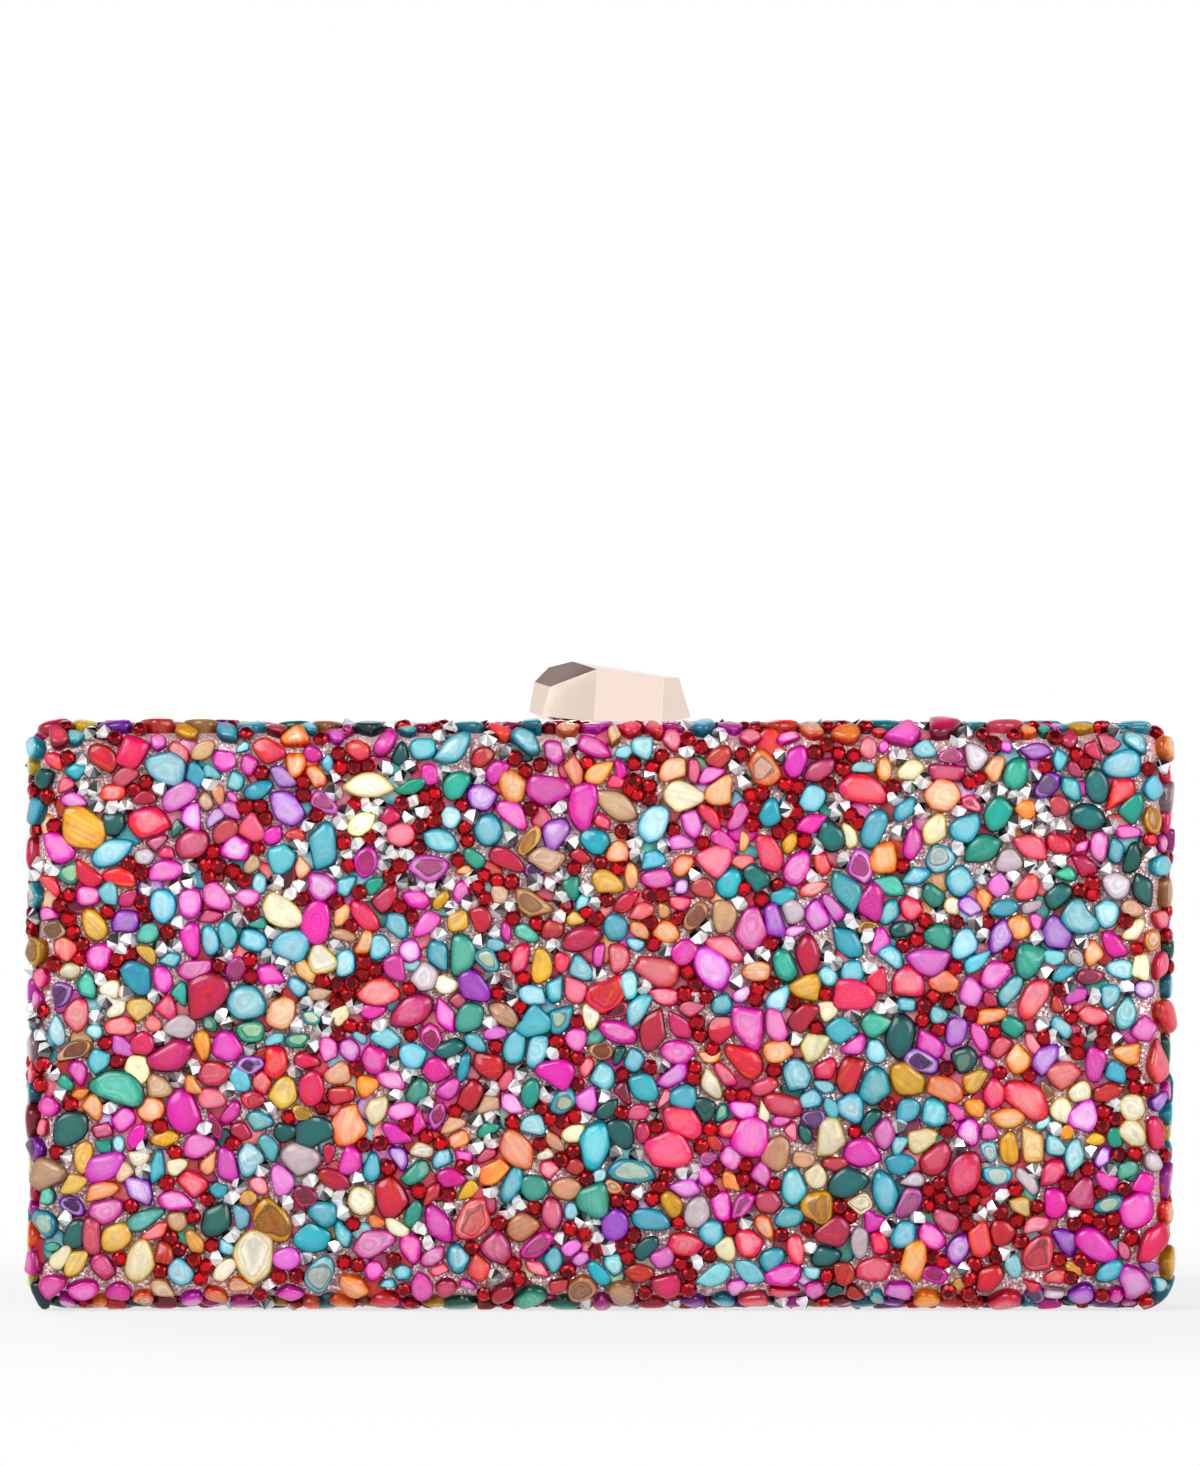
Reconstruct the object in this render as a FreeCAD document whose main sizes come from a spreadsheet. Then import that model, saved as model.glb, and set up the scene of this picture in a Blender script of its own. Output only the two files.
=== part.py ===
import FreeCAD, Part
import Sketcher
import math
import os
import re

Vector = FreeCAD.Vector

# Hard evening clutch: two stone-covered trays in cast metal frames, hinged along the bottom,
# held shut at the top by a leaf-spring latch that a rock-shaped push knob releases.
# X runs along the case, front is toward -Y, Z is up, the parting plane is y = 0.

# Driving sizes in millimetres, one row for each size that can be set by itself.
ROWS = [
    ("case_width", "204", "left to right over the stones"),
    ("case_height", "105", "bottom to top over the stones, without the knob"),
    ("case_depth", "46", "front to back over the stones"),
    ("parting_gap", "0.3", "between the two closed frames"),
    ("glue_gap", "0.05", "between glued layers"),
    ("stone_height", "2.6", "stone crust over the cover"),
    ("crown_height", "1.1", "tops of the stones above their bed"),
    ("crown_length", "9.3", "stones, long way"),
    ("crown_width", "7.2", "stones, short way"),
    ("crown_spacing", "0.6", "between stones"),
    ("cover_thickness", "0.6", "glitter mesh fabric"),
    ("shell_thickness", "1.5", "moulded tray"),
    ("lining_thickness", "0.4", "satin on card"),
    ("shell_corner_radius", "3.0", "tray corners seen from the front"),
    ("shell_edge_radius", "2.4", "tray edges round the big face"),
    ("crust_corner_radius", "5.0", "stone crust corners seen from the front"),
    ("crust_edge_bevel", "3.4", "bevel of the stones' bed round the big face"),
    ("inner_corner_radius", "0.4", "frame corners inside"),
    ("flange_thickness", "0.8", "frame flanges"),
    ("frame_depth", "2.45", "frame from parting face to flange edge"),
    ("frame_web", "1.2", "frame wall at the parting face"),
    ("rim_gap", "0.1", "flange edge to stone crust"),
    ("hinge_axis_height", "1.5", "hinge axis above the base"),
    ("hinge_spacing", "124", "between the hinge middles"),
    ("hinge_length", "24", "each hinge along the axis"),
    ("hinge_gap", "0.2", "between neighbouring knuckles"),
    ("back_knuckle_length", "6", "each outer knuckle"),
    ("knuckle_radius", "1.3", "knuckle barrel"),
    ("knuckle_clearance", "0.25", "round a barrel in the other frame"),
    ("pin_radius", "0.6", "hinge pin"),
    ("pin_clearance", "0.05", "pin in the moving knuckle"),
    ("latch_tab_width", "17", "tab of the front frame that carries the tongue"),
    ("latch_tab_reach", "12", "tab end from the parting plane"),
    ("tongue_clearance", "0.4", "tongue below the back flange"),
    ("tongue_thickness", "0.6", "spring strip"),
    ("tongue_width", "13.4", "spring strip"),
    ("tongue_reach", "8.6", "strip end behind the parting plane"),
    ("tongue_margin", "0.5", "tab end to strip end"),
    ("barb_gap", "0.2", "hook face behind the flange edge"),
    ("barb_rise", "0.95", "barb above the strip"),
    ("barb_crest", "0.4", "flat top of a barb"),
    ("barb_length", "1.9", "barb along the strip"),
    ("barb_width", "3.1", "each barb"),
    ("latch_rivet_radius", "0.8", "shank"),
    ("latch_rivet_spacing", "9", "between the two rivets"),
    ("latch_rivet_offset", "8.2", "rivets from the parting plane"),
    ("rivet_head_radius", "1.5", "head"),
    ("rivet_head_height", "0.5", "head"),
    ("rivet_crown_radius", "0.9", "flat on top of a head"),
    ("clasp_offset", "6.2", "stem axis behind the parting plane"),
    ("stem_radius", "1.5", "stem"),
    ("stem_clearance", "0.05", "stem in its bush"),
    ("stem_gap", "0.2", "stem end above the tongue"),
    ("stem_tip", "0.35", "stem below the clip groove"),
    ("spigot_radius", "1.2", "stem end pressed into the knob"),
    ("spigot_length", "3", "stem end pressed into the knob"),
    ("bush_radius", "2.3", "bush barrel"),
    ("bush_flange_radius", "3.2", "bush flange"),
    ("bush_flange_thickness", "0.8", "bush flange"),
    ("bush_proud", "0.2", "bush end below the lining"),
    ("clip_thickness", "0.4", "retaining clip"),
    ("clip_radius", "2.5", "retaining clip"),
    ("clip_gap", "0.05", "clip in its groove"),
    ("groove_radius", "1.05", "stem at the clip groove"),
    ("clip_mouth", "1.7", "opening of the clip"),
    ("press_travel", "1.2", "stroke of the knob"),
    ("knob_clearance", "0.25", "pressed knob above the frames"),
    ("knob_width", "29.1", "knob left to right"),
    ("knob_depth", "16.6", "knob front to back"),
    ("knob_height", "11.4", "knob bottom to top"),
    ("knob_left", "12.75", "knob left end from the middle of the case"),
    ("knob_front", "5.5", "knob front from the parting plane"),
    ("recess_radius", "3.5", "spring recess under the knob"),
    ("recess_depth", "3.6", "spring recess above the knob's lowest point"),
    ("landing_margin", "0.8", "bare strip round the knob in the stones"),
    ("spring_radius", "2.3", "coil, to the middle of the wire"),
    ("wire_radius", "0.28", "spring wire"),
    ("spring_turns", "4.5", "coil turns"),
    ("lug_drop", "15", "chain eyes below the top rail"),
    ("chain_tab_height", "12", "tab of the back frame that carries an eye"),
    ("chain_tab_reach", "11.4", "tab end from the parting plane"),
    ("lug_base_thickness", "0.8", "eye bracket base"),
    ("lug_margin", "0.5", "tab edge to bracket edge"),
    ("lug_setback", "3.2", "eye plate from the parting plane"),
    ("eye_thickness", "1.2", "eye plate"),
    ("eye_radius", "4", "eye plate end"),
    ("eye_hole_radius", "2", "hole for the chain hook"),
    ("eye_reach", "4.6", "hole from the bracket base"),
    ("lug_rivet_radius", "0.7", "shank"),
    ("lug_rivet_spacing", "6.4", "between the two rivets"),
    ("lug_rivet_offset", "8.2", "rivets from the parting plane"),
    ("lug_head_radius", "1.2", "head"),
    ("chain_notch_radius", "1.1", "slot in the side rails for the chain"),
]

doc = FreeCAD.newDocument("minaudiere")
sheet = doc.addObject("Spreadsheet::Sheet", "Sizes")
for row, (alias, number, note) in enumerate(ROWS, start=1):
    sheet.set(f"A{row}", alias)
    sheet.set(f"B{row}", number)
    sheet.set(f"C{row}", note)
    sheet.setAlias(f"B{row}", alias)
doc.recompute()

# Insets of each layer's outer face from the stone tops, built from the sheet's names.
COVER_OUT = "(stone_height)"
COVER_IN = f"({COVER_OUT} + cover_thickness)"
SHELL_OUT = f"({COVER_IN} + glue_gap)"
SHELL_IN = f"({SHELL_OUT} + shell_thickness)"
LINING_OUT = f"({SHELL_IN} + glue_gap)"
LINING_IN = f"({LINING_OUT} + lining_thickness)"
INNER_FLANGE_OUT = f"({LINING_IN} + glue_gap)"
INNER_FLANGE_IN = f"({INNER_FLANGE_OUT} + flange_thickness)"
OUTER_FLANGE_IN = "(stone_height - glue_gap)"
OUTER_FLANGE_OUT = f"({OUTER_FLANGE_IN} - flange_thickness)"

# Distances from the parting plane.
FRAME_FACE = "(parting_gap / 2)"
GROOVE_FLOOR = f"({FRAME_FACE} + frame_web)"
FLANGE_EDGE = f"({FRAME_FACE} + frame_depth)"
TRAY_RIM = f"({GROOVE_FLOOR} + glue_gap)"
CRUST_RIM = f"({FLANGE_EDGE} + rim_gap)"

# Bed of the stones: big face from the parting plane, ends from the middle, top from the base.
# Underneath the stones are taken as level, so there the bed reaches their tops.
BED_FACE = "(case_depth / 2 - crown_height)"
BED_END = "(case_width / 2 - crown_height)"
BED_TOP = "(case_height - crown_height)"
BED_CORNER = "(crust_corner_radius - crown_height)"

# Heights of the latch and clasp, from the base.
FLANGE_UNDER = f"(case_height - {INNER_FLANGE_IN})"
TONGUE_TOP = f"({FLANGE_UNDER} - tongue_clearance)"
STEM_END = f"({TONGUE_TOP} + stem_gap)"
BUSH_END = f"(case_height - {LINING_IN} - bush_proud)"
COVER_TOP = f"(case_height - {COVER_OUT})"
BUSH_TOP = f"({COVER_TOP} + bush_flange_thickness)"
KNOB_FOOT = f"(case_height - {OUTER_FLANGE_OUT} + knob_clearance + press_travel)"
RECESS_TOP = f"({KNOB_FOOT} + recess_depth)"
CLIP_UNDER = f"({STEM_END} + stem_tip + clip_gap)"

# Height of the chain eyes, which hang from the top rail.
LUG_HEIGHT = f"({FLANGE_UNDER} - lug_drop)"

FRONT, BACK = -1, 1
SIDES = (("left", -1), ("right", 1))


def ref(text):
    """The same sum with every size name pointed at the sheet."""
    return re.sub(r"[a-z][a-z_]+", lambda word: "Sizes." + word.group(0), text)


def val(text):
    """Present value of a sum of size names."""
    return float(sheet.evalExpression(text))


def new_body(label):
    body = doc.addObject("PartDesign::Body", label)
    body.Label = label
    return body


def new_sketch(body, name, role, across="0", up="0", off="0"):
    """Sketch on an origin plane of the body, shifted in the plane and along its normal."""
    sketch = body.newObject("Sketcher::SketchObject", name)
    plane = [part for part in body.Origin.OriginFeatures if part.Role == role][0]
    sketch.AttachmentSupport = [(plane, "")]
    sketch.MapMode = "FlatFace"
    for axis, text in (("x", across), ("y", up), ("z", off)):
        sketch.setExpression(f"AttachmentOffset.Base.{axis}", ref(text))
    return sketch


def bind(sketch, constraint, text):
    """Adds a dimension and ties it to the sheet."""
    index = sketch.addConstraint(constraint)
    name = f"size{index}"
    sketch.renameConstraint(index, name)
    sketch.setExpression(f"Constraints.{name}", ref(text))


def rounded_rectangle(sketch, half_width, half_height, radius):
    """Rounded rectangle centred on the sketch's origin."""
    w, h, r = val(half_width), val(half_height), val(radius)
    first = sketch.GeometryCount

    def line(x0, y0, x1, y1):
        sketch.addGeometry(Part.LineSegment(Vector(x0, y0, 0), Vector(x1, y1, 0)))

    def corner(x, y, start):
        circle = Part.Circle(Vector(x, y, 0), Vector(0, 0, 1), r)
        sketch.addGeometry(Part.ArcOfCircle(circle, start, start + math.pi / 2))

    line(r - w, -h, w - r, -h)
    corner(w - r, r - h, 1.5 * math.pi)
    line(w, r - h, w, h - r)
    corner(w - r, h - r, 0)
    line(w - r, h, r - w, h)
    corner(r - w, h - r, 0.5 * math.pi)
    line(-w, h - r, -w, r - h)
    corner(r - w, r - h, math.pi)
    for n in range(8):
        sketch.addConstraint(
            Sketcher.Constraint("Tangent", first + n, 2, first + (n + 1) % 8, 1))
    for n, way in ((0, "Horizontal"), (4, "Horizontal"), (2, "Vertical"), (6, "Vertical")):
        sketch.addConstraint(Sketcher.Constraint(way, first + n))
    for n in (3, 5, 7):
        sketch.addConstraint(Sketcher.Constraint("Equal", first + 1, first + n))
    bind(sketch, Sketcher.Constraint("DistanceX", -1, 1, first + 2, 1, w), half_width)
    bind(sketch, Sketcher.Constraint("DistanceX", first + 6, 1, -1, 1, w), half_width)
    bind(sketch, Sketcher.Constraint("DistanceY", -1, 1, first + 4, 1, h), half_height)
    bind(sketch, Sketcher.Constraint("DistanceY", first, 1, -1, 1, h), half_height)
    bind(sketch, Sketcher.Constraint("Radius", first + 1, r), radius)


def polygon(sketch, corners):
    """Closed outline through corners given as pairs of sums."""
    points = [Vector(val(x), val(y), 0) for x, y in corners]
    first = sketch.GeometryCount
    count = len(points)
    for n in range(count):
        sketch.addGeometry(Part.LineSegment(points[n], points[(n + 1) % count]))
    for n in range(count):
        sketch.addConstraint(
            Sketcher.Constraint("Coincident", first + n, 2, first + (n + 1) % count, 1))
    for n, (x, y) in enumerate(corners):
        for way, axis, text, here in (("DistanceX", -2, x, points[n].x),
                                      ("DistanceY", -1, y, points[n].y)):
            if text == "0":
                sketch.addConstraint(Sketcher.Constraint("PointOnObject", first + n, 1, axis))
            else:
                bind(sketch, Sketcher.Constraint(way, -1, 1, first + n, 1, here), text)


def rectangle(sketch, x0, y0, x1, y1):
    polygon(sketch, [(x0, y0), (x1, y0), (x1, y1), (x0, y1)])


def circle(sketch, x, y, radius):
    """Circle whose middle and radius are sums of size names."""
    middle = Vector(val(x), val(y), 0)
    n = sketch.addGeometry(Part.Circle(middle, Vector(0, 0, 1), val(radius)))
    for way, axis, text, here in (("DistanceX", -2, x, middle.x), ("DistanceY", -1, y, middle.y)):
        if text == "0":
            sketch.addConstraint(Sketcher.Constraint("PointOnObject", n, 3, axis))
        else:
            bind(sketch, Sketcher.Constraint(way, -1, 1, n, 3, here), text)
    bind(sketch, Sketcher.Constraint("Radius", n, val(radius)), radius)


def pad(body, sketch, length, flip=False, middle=False):
    feature = body.newObject("PartDesign::Pad", sketch.Name + "_pad")
    feature.Profile = sketch
    feature.setExpression("Length", ref(length))
    feature.Reversed = flip
    feature.Midplane = middle
    doc.recompute()
    return feature


def pocket(body, sketch, length, along=False, middle=False):
    """Cut against the sketch's normal, or along it."""
    before = body.Shape.Volume
    feature = body.newObject("PartDesign::Pocket", sketch.Name + "_pocket")
    feature.Profile = sketch
    feature.setExpression("Length", ref(length))
    feature.Reversed = along
    feature.Midplane = middle
    doc.recompute()
    if body.Shape.Volume >= before:
        raise RuntimeError(f"{feature.Name} cuts nothing")
    return feature


def edges_where(feature, test):
    """Names of the edges whose ends all pass the test."""
    return [f"Edge{n}" for n, edge in enumerate(feature.Shape.Edges, start=1)
            if all(test(corner.Point) for corner in edge.Vertexes)]


def round_edges(body, feature, name, test, radius):
    made = body.newObject("PartDesign::Fillet", name)
    made.Base = (feature, edges_where(feature, test))
    made.setExpression("Radius", ref(radius))
    doc.recompute()
    return made


def bevel_edges(body, feature, name, test, size):
    made = body.newObject("PartDesign::Chamfer", name)
    made.Base = (feature, edges_where(feature, test))
    made.setExpression("Size", ref(size))
    doc.recompute()
    return made


def turned(label, outline):
    """Body of revolution about its own upright axis, from (radius, height) sums."""
    body = new_body(label)
    sketch = new_sketch(body, label + "_outline", "XZ_Plane")
    polygon(sketch, outline)
    feature = body.newObject("PartDesign::Revolution", label + "_turn")
    feature.Profile = sketch
    feature.ReferenceAxis = (sketch, ["V_Axis"])
    doc.recompute()
    return body


def place(body, x="0", y="0", z="0"):
    for axis, text in (("x", x), ("y", y), ("z", z)):
        body.setExpression(f"Placement.Base.{axis}", ref(text))


def half_outline(sketch, inset, radius):
    """Outline of the case seen from the front, drawn in by an inset."""
    rounded_rectangle(sketch, f"case_width / 2 - {inset}", f"case_height / 2 - {inset}", radius)


def face_sketch(body, name, side, off):
    """Sketch parallel to the big faces at a distance from the parting plane."""
    return new_sketch(body, name, "XZ_Plane", up="case_height / 2", off=f"{-side} * {off}")


def block(label, side, inset, face_inset, rim, corner, edge):
    """Solid of one half with rounded corners and rounded edges on its big face."""
    body = new_body(label)
    outside = face_sketch(body, label + "_outside", side, rim)
    half_outline(outside, inset, corner)
    solid = pad(body, outside, f"case_depth / 2 - {face_inset} - {rim}", flip=side == BACK)
    far = side * val(f"case_depth / 2 - {face_inset}")
    fine = val("glue_gap") / 10
    round_edges(body, solid, label + "_edges", lambda p: abs(p.y - far) < fine, edge)
    return body


def layer_radii(inset):
    """Corner and edge radii that keep a layer parallel to the shell's outside."""
    return (f"shell_corner_radius + {SHELL_OUT} - {inset}",
            f"shell_edge_radius + {SHELL_OUT} - {inset}")


def layer(label, side, inset, thickness):
    """One of the thin open trays of a half, parallel to the shell."""
    corner, edge = layer_radii(inset)
    body = block(label, side, inset, inset, TRAY_RIM, corner, edge)
    rim = side * val(TRAY_RIM)
    fine = val("glue_gap") / 10
    solid = body.Tip
    open_faces = [f"Face{n}" for n, face in enumerate(solid.Shape.Faces, start=1)
                  if all(abs(p.Point.y - rim) < fine for p in face.Vertexes)]
    hollow = body.newObject("PartDesign::Thickness", label + "_hollow")
    hollow.Base = (solid, open_faces)
    hollow.setExpression("Value", ref(thickness))
    hollow.Reversed = True
    doc.recompute()
    return body


def bush_hole(body, label):
    """Hole for the clasp bush through the top wall of a back layer."""
    hole = new_sketch(body, label + "_bush_hole", "XY_Plane", off="case_height")
    circle(hole, "0", "clasp_offset", "bush_radius + glue_gap")
    pocket(body, hole, INNER_FLANGE_OUT)


# Bare place round the knob in the top walls, its ends measured from the parting plane.
LANDING_LEFT = "(-knob_left - landing_margin)"
LANDING_RIGHT = "(knob_width - knob_left + landing_margin)"
LANDING_ENDS = {FRONT: "(knob_front + landing_margin)",
                BACK: "(knob_depth - knob_front + landing_margin)"}


def stone_bed(label, side):
    """Tray of set stones up to the foot of their crowns, bevelled round the big face."""
    body = new_body(label)
    fine = val("glue_gap") / 10
    outside = new_sketch(body, label + "_outside", "XZ_Plane", up=f"{BED_TOP} / 2",
                         off=f"{-side} * {CRUST_RIM}")
    rounded_rectangle(outside, BED_END, f"{BED_TOP} / 2", BED_CORNER)
    pad(body, outside, f"{BED_FACE} - {CRUST_RIM}", flip=side == BACK)
    corner, edge = layer_radii(OUTER_FLANGE_IN)
    hollow = face_sketch(body, label + "_hollow", side, CRUST_RIM)
    half_outline(hollow, OUTER_FLANGE_IN, corner)
    cut = pocket(body, hollow, f"case_depth / 2 - {OUTER_FLANGE_IN} - {CRUST_RIM}",
                 along=side == FRONT)
    deep = side * val(f"case_depth / 2 - {OUTER_FLANGE_IN}")
    hollowed = round_edges(body, cut, label + "_floor", lambda p: abs(p.y - deep) < fine, edge)
    far = side * val(BED_FACE)
    bevel_edges(body, hollowed, label + "_bevel", lambda p: abs(p.y - far) < fine,
                "crust_edge_bevel")
    landing = new_sketch(body, label + "_landing", "XY_Plane", off="case_height")
    rectangle(landing, LANDING_LEFT, "0", LANDING_RIGHT, f"{side} * {LANDING_ENDS[side]}")
    pocket(body, landing, "stone_height")
    return body


def solid_of(outlines):
    """Solid closed by flat faces with the given outlines."""
    faces = [Part.Face(Part.makePolygon(ring + ring[:1])) for ring in outlines]
    solid = Part.makeSolid(Part.makeShell(faces))
    if solid.Volume < 0:
        solid.reverse()
    return solid


# Shares of a stone: the spread shares scatter places, tilts and heights without a pattern.
SPREAD_SHARES = (0.7549, 0.5698, 0.618)
STRAY_SHARES = (0.5, 0.42)
SHORTEST_SHARE = 0.16
TABLE_SHARE = 0.64
LOWEST_SHARE = 0.7
TILT_SHARE = 0.35


def scattered(number, which):
    """Share between 0 and 1 that hops about as the number counts up."""
    return math.modf(number * SPREAD_SHARES[which])[0]


def clipped(outline, point, away):
    """What is left of a convex outline behind the line through a point, square to away."""
    kept = []
    for n, corner in enumerate(outline):
        before = outline[n - 1]
        here, there = (corner - point).dot(away), (before - point).dot(away)
        if here * there < 0:
            kept.append(before + (corner - before) * (there / (there - here)))
        if here <= 0:
            kept.append(corner)
    return kept


def stone_middles(wide, tall):
    """Middles of the stones on a flat rectangle, in staggered rows that stray from line."""
    columns = max(round(wide / val("crown_length + crown_spacing")), 1)
    rows = max(round(tall / val("crown_width + crown_spacing")), 1)
    middles = []
    for number in range(rows * columns):
        row, column = divmod(number, columns)
        stagger = 0.25 if row % 2 else -0.25
        stray = [(scattered(number, n) - 0.5) * STRAY_SHARES[n] for n in (0, 1)]
        across = (column + 0.5 + stagger + stray[0]) / columns - 0.5
        up = (row + 0.5 + (stray[1] if rows > 1 else 0)) / rows - 0.5
        middles.append(Vector(across * wide, up * tall, 0))
    return middles


def stone_outlines(wide, tall, bare):
    """Outlines of close-set stones that share a flat rectangle, clear of a bare one."""
    gap = val("crown_spacing / 2")
    middles = stone_middles(wide, tall)
    if bare:
        middles = [m for m in middles if not all(
            low < place < high for place, (low, high) in zip((m.x, m.y), bare))]
    reach = 3 * val("crown_length + crown_spacing")
    x, y = wide / 2 - gap, tall / 2 - gap
    stones = []
    for middle in middles:
        outline = [Vector(-x, -y, 0), Vector(x, -y, 0), Vector(x, y, 0), Vector(-x, y, 0)]
        for other in middles:
            away = other - middle
            if 0 < away.Length < reach:
                half = middle + away / 2
                away.normalize()
                outline = clipped(outline, half - away * gap, away)
        if bare:
            outline = clear_of(outline, middle, bare, gap)
        outline = without_short_sides(outline)
        # A strip too narrow for three facets stays bare.
        if len(outline) > 2:
            stones.append(outline)
    return stones


def clear_of(outline, middle, bare, gap):
    """Outline cut back from the side of a bare rectangle that its middle is furthest past."""
    (left, right), (low, high) = bare
    sides = [(left - gap, Vector(1, 0, 0)), (-right - gap, Vector(-1, 0, 0)),
             (low - gap, Vector(0, 1, 0)), (-high - gap, Vector(0, -1, 0))]
    edge, away = max(sides, key=lambda side: side[0] - side[1].dot(middle))
    return clipped(outline, away * edge, away)


def without_short_sides(outline):
    """Drops corners that lie too near the one before for a stone's facet."""
    shortest = SHORTEST_SHARE * val("crown_width")
    kept = []
    for corner in outline:
        if all((corner - other).Length > shortest for other in kept):
            kept.append(corner)
    return kept


def stone_crown(outline, number, spot):
    """Crown over an outline: flat sides that lean to one point, cut by a tilted table."""
    middle = Vector()
    for corner in outline:
        middle += corner / len(outline)
    top = val("crown_height") * (1 - (1 - LOWEST_SHARE) * scattered(number, 2))
    rise = top * (1 + TILT_SHARE * (1 - TABLE_SHARE)) / (1 + TILT_SHARE)
    point = rise / (1 - TABLE_SHARE)
    turn = 2 * math.pi * scattered(number, 0)
    lean = Vector(math.cos(turn), math.sin(turn), 0)
    far = max((corner - middle).dot(lean) for corner in outline)
    base, table = [], []
    for corner in outline:
        slope = TILT_SHARE * rise * (corner - middle).dot(lean) / far
        share = (rise + slope) / (point + slope)
        base.append(spot(corner, 0))
        table.append(spot(corner + (middle - corner) * share, share * point))
    outlines = [base, table]
    for n in range(len(base)):
        outlines.append([base[n - 1], base[n], table[n], table[n - 1]])
    return solid_of(outlines)


def set_stones(centre, along, up, wide, tall, bare=None):
    """Crowns over one flat of the bed, given by its middle, two directions and its size."""
    out = along.cross(up)
    if out.dot(centre - Vector(0, 0, val("case_height / 2"))) < 0:
        out = -out

    def spot(place, height):
        return centre + along * place.x + up * place.y + out * height

    return [stone_crown(outline, number, spot)
            for number, outline in enumerate(stone_outlines(wide, tall, bare))]


def stone_crowns(label, side):
    """Crowns of the stones on the big face, the top, the ends and the bevels between them."""
    face, end, top = val(BED_FACE), val(BED_END), val(BED_TOP)
    rim, corner, bevel = val(CRUST_RIM), val(BED_CORNER), val("crust_edge_bevel")
    across, out, up = Vector(1, 0, 0), Vector(0, side, 0), Vector(0, 0, 1)
    wall, slant = face - bevel - rim, bevel * math.sqrt(2)
    wall_middle, bevel_middle = out * (rim + wall / 2), out * (face - bevel / 2)
    wide, high = 2 * (end - corner), top - 2 * corner
    crowns = set_stones(out * face + up * (top / 2), across, up, 2 * (end - bevel),
                        top - 2 * bevel)
    landing = ((val(LANDING_LEFT), val(LANDING_RIGHT)),
               (-wall, val(LANDING_ENDS[side]) - rim - wall / 2))
    crowns += set_stones(wall_middle + up * top, across, out, wide, wall, landing)
    crowns += set_stones(bevel_middle + up * (top - bevel / 2), across, (out - up).normalize(),
                         wide, slant)
    # Kept up from the base by the height of a crown, so that the case stands on its flat.
    lift = val("crown_height")
    rising = (out + up).normalize()
    crowns += set_stones(bevel_middle + up * (bevel / 2) + rising * (lift / 2), across, rising,
                         wide, slant - lift)
    for sign in (-1, 1):
        sideways = across * sign
        crowns += set_stones(sideways * end + wall_middle + up * (top / 2), up, out, high, wall)
        crowns += set_stones(sideways * (end - bevel / 2) + bevel_middle + up * (top / 2), up,
                             (out - sideways).normalize(), high, slant)
    node = doc.addObject("Part::Feature", label)
    node.Label = label
    node.Shape = Part.makeCompound(crowns)
    return node


def hinge_sketch(body, name, start, radius):
    sketch = new_sketch(body, name, "YZ_Plane", off=start)
    circle(sketch, "0", "hinge_axis_height", radius)
    return sketch


def frame_ring(label, side):
    """Channel-section rim that takes the edges of cover, shell and lining in its groove."""
    body = new_body(label)
    ring = face_sketch(body, label + "_ring", side, FRAME_FACE)
    half_outline(ring, OUTER_FLANGE_OUT, layer_radii(OUTER_FLANGE_OUT)[0])
    half_outline(ring, INNER_FLANGE_IN, "inner_corner_radius")
    pad(body, ring, "frame_depth", flip=side == BACK)
    groove = face_sketch(body, label + "_groove", side, GROOVE_FLOOR)
    half_outline(groove, OUTER_FLANGE_IN, layer_radii(OUTER_FLANGE_IN)[0])
    half_outline(groove, INNER_FLANGE_OUT, layer_radii(INNER_FLANGE_OUT)[0])
    pocket(body, groove, "frame_depth - frame_web", along=side == FRONT)
    notch = new_sketch(body, label + "_chain_notch", "YZ_Plane")
    circle(notch, "0", LUG_HEIGHT, "chain_notch_radius")
    pocket(body, notch, "case_width", middle=True)
    return body


def front_frame():
    """Front rim with the middle knuckles and the tab that carries the tongue."""
    label = "front_frame"
    body = frame_ring(label, FRONT)
    swept = "knuckle_radius + knuckle_clearance"
    for name, sign in SIDES:
        middle = f"{sign} * hinge_spacing / 2"
        gap_length = "back_knuckle_length + 2 * hinge_gap"
        for end, shift in (("in", "- hinge_length / 2 - hinge_gap"),
                           ("out", "+ hinge_length / 2 - back_knuckle_length - hinge_gap")):
            room = hinge_sketch(body, f"{label}_{name}_{end}_room", f"{middle} {shift}", swept)
            pocket(body, room, gap_length, along=True)
    for name, sign in SIDES:
        middle = f"{sign} * hinge_spacing / 2"
        barrel_half = "hinge_length / 2 - back_knuckle_length - hinge_gap"
        barrel = hinge_sketch(body, f"{label}_{name}_knuckle", f"{middle} - ({barrel_half})",
                              "knuckle_radius")
        pad(body, barrel, f"2 * ({barrel_half})")
        bore = hinge_sketch(body, f"{label}_{name}_bore", middle, "pin_radius + pin_clearance")
        pocket(body, bore, "hinge_length", middle=True)
    latch_tab(body, label)
    return body


def latch_tab(body, label):
    """Tab behind the top rail with the two rivet holes of the tongue."""
    tab = new_sketch(body, label + "_tab", "XY_Plane", off=f"case_height - {INNER_FLANGE_OUT}")
    rectangle(tab, "-latch_tab_width / 2", "-latch_tab_reach",
              "latch_tab_width / 2", f"-{GROOVE_FLOOR}")
    pad(body, tab, "flange_thickness + tongue_clearance", flip=True)
    holes = new_sketch(body, label + "_tab_holes", "XY_Plane", off="case_height")
    for name, sign in SIDES:
        circle(holes, f"{sign} * latch_rivet_spacing / 2", "-latch_rivet_offset",
               "latch_rivet_radius")
    pocket(body, holes, f"{INNER_FLANGE_IN} + tongue_clearance")


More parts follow.
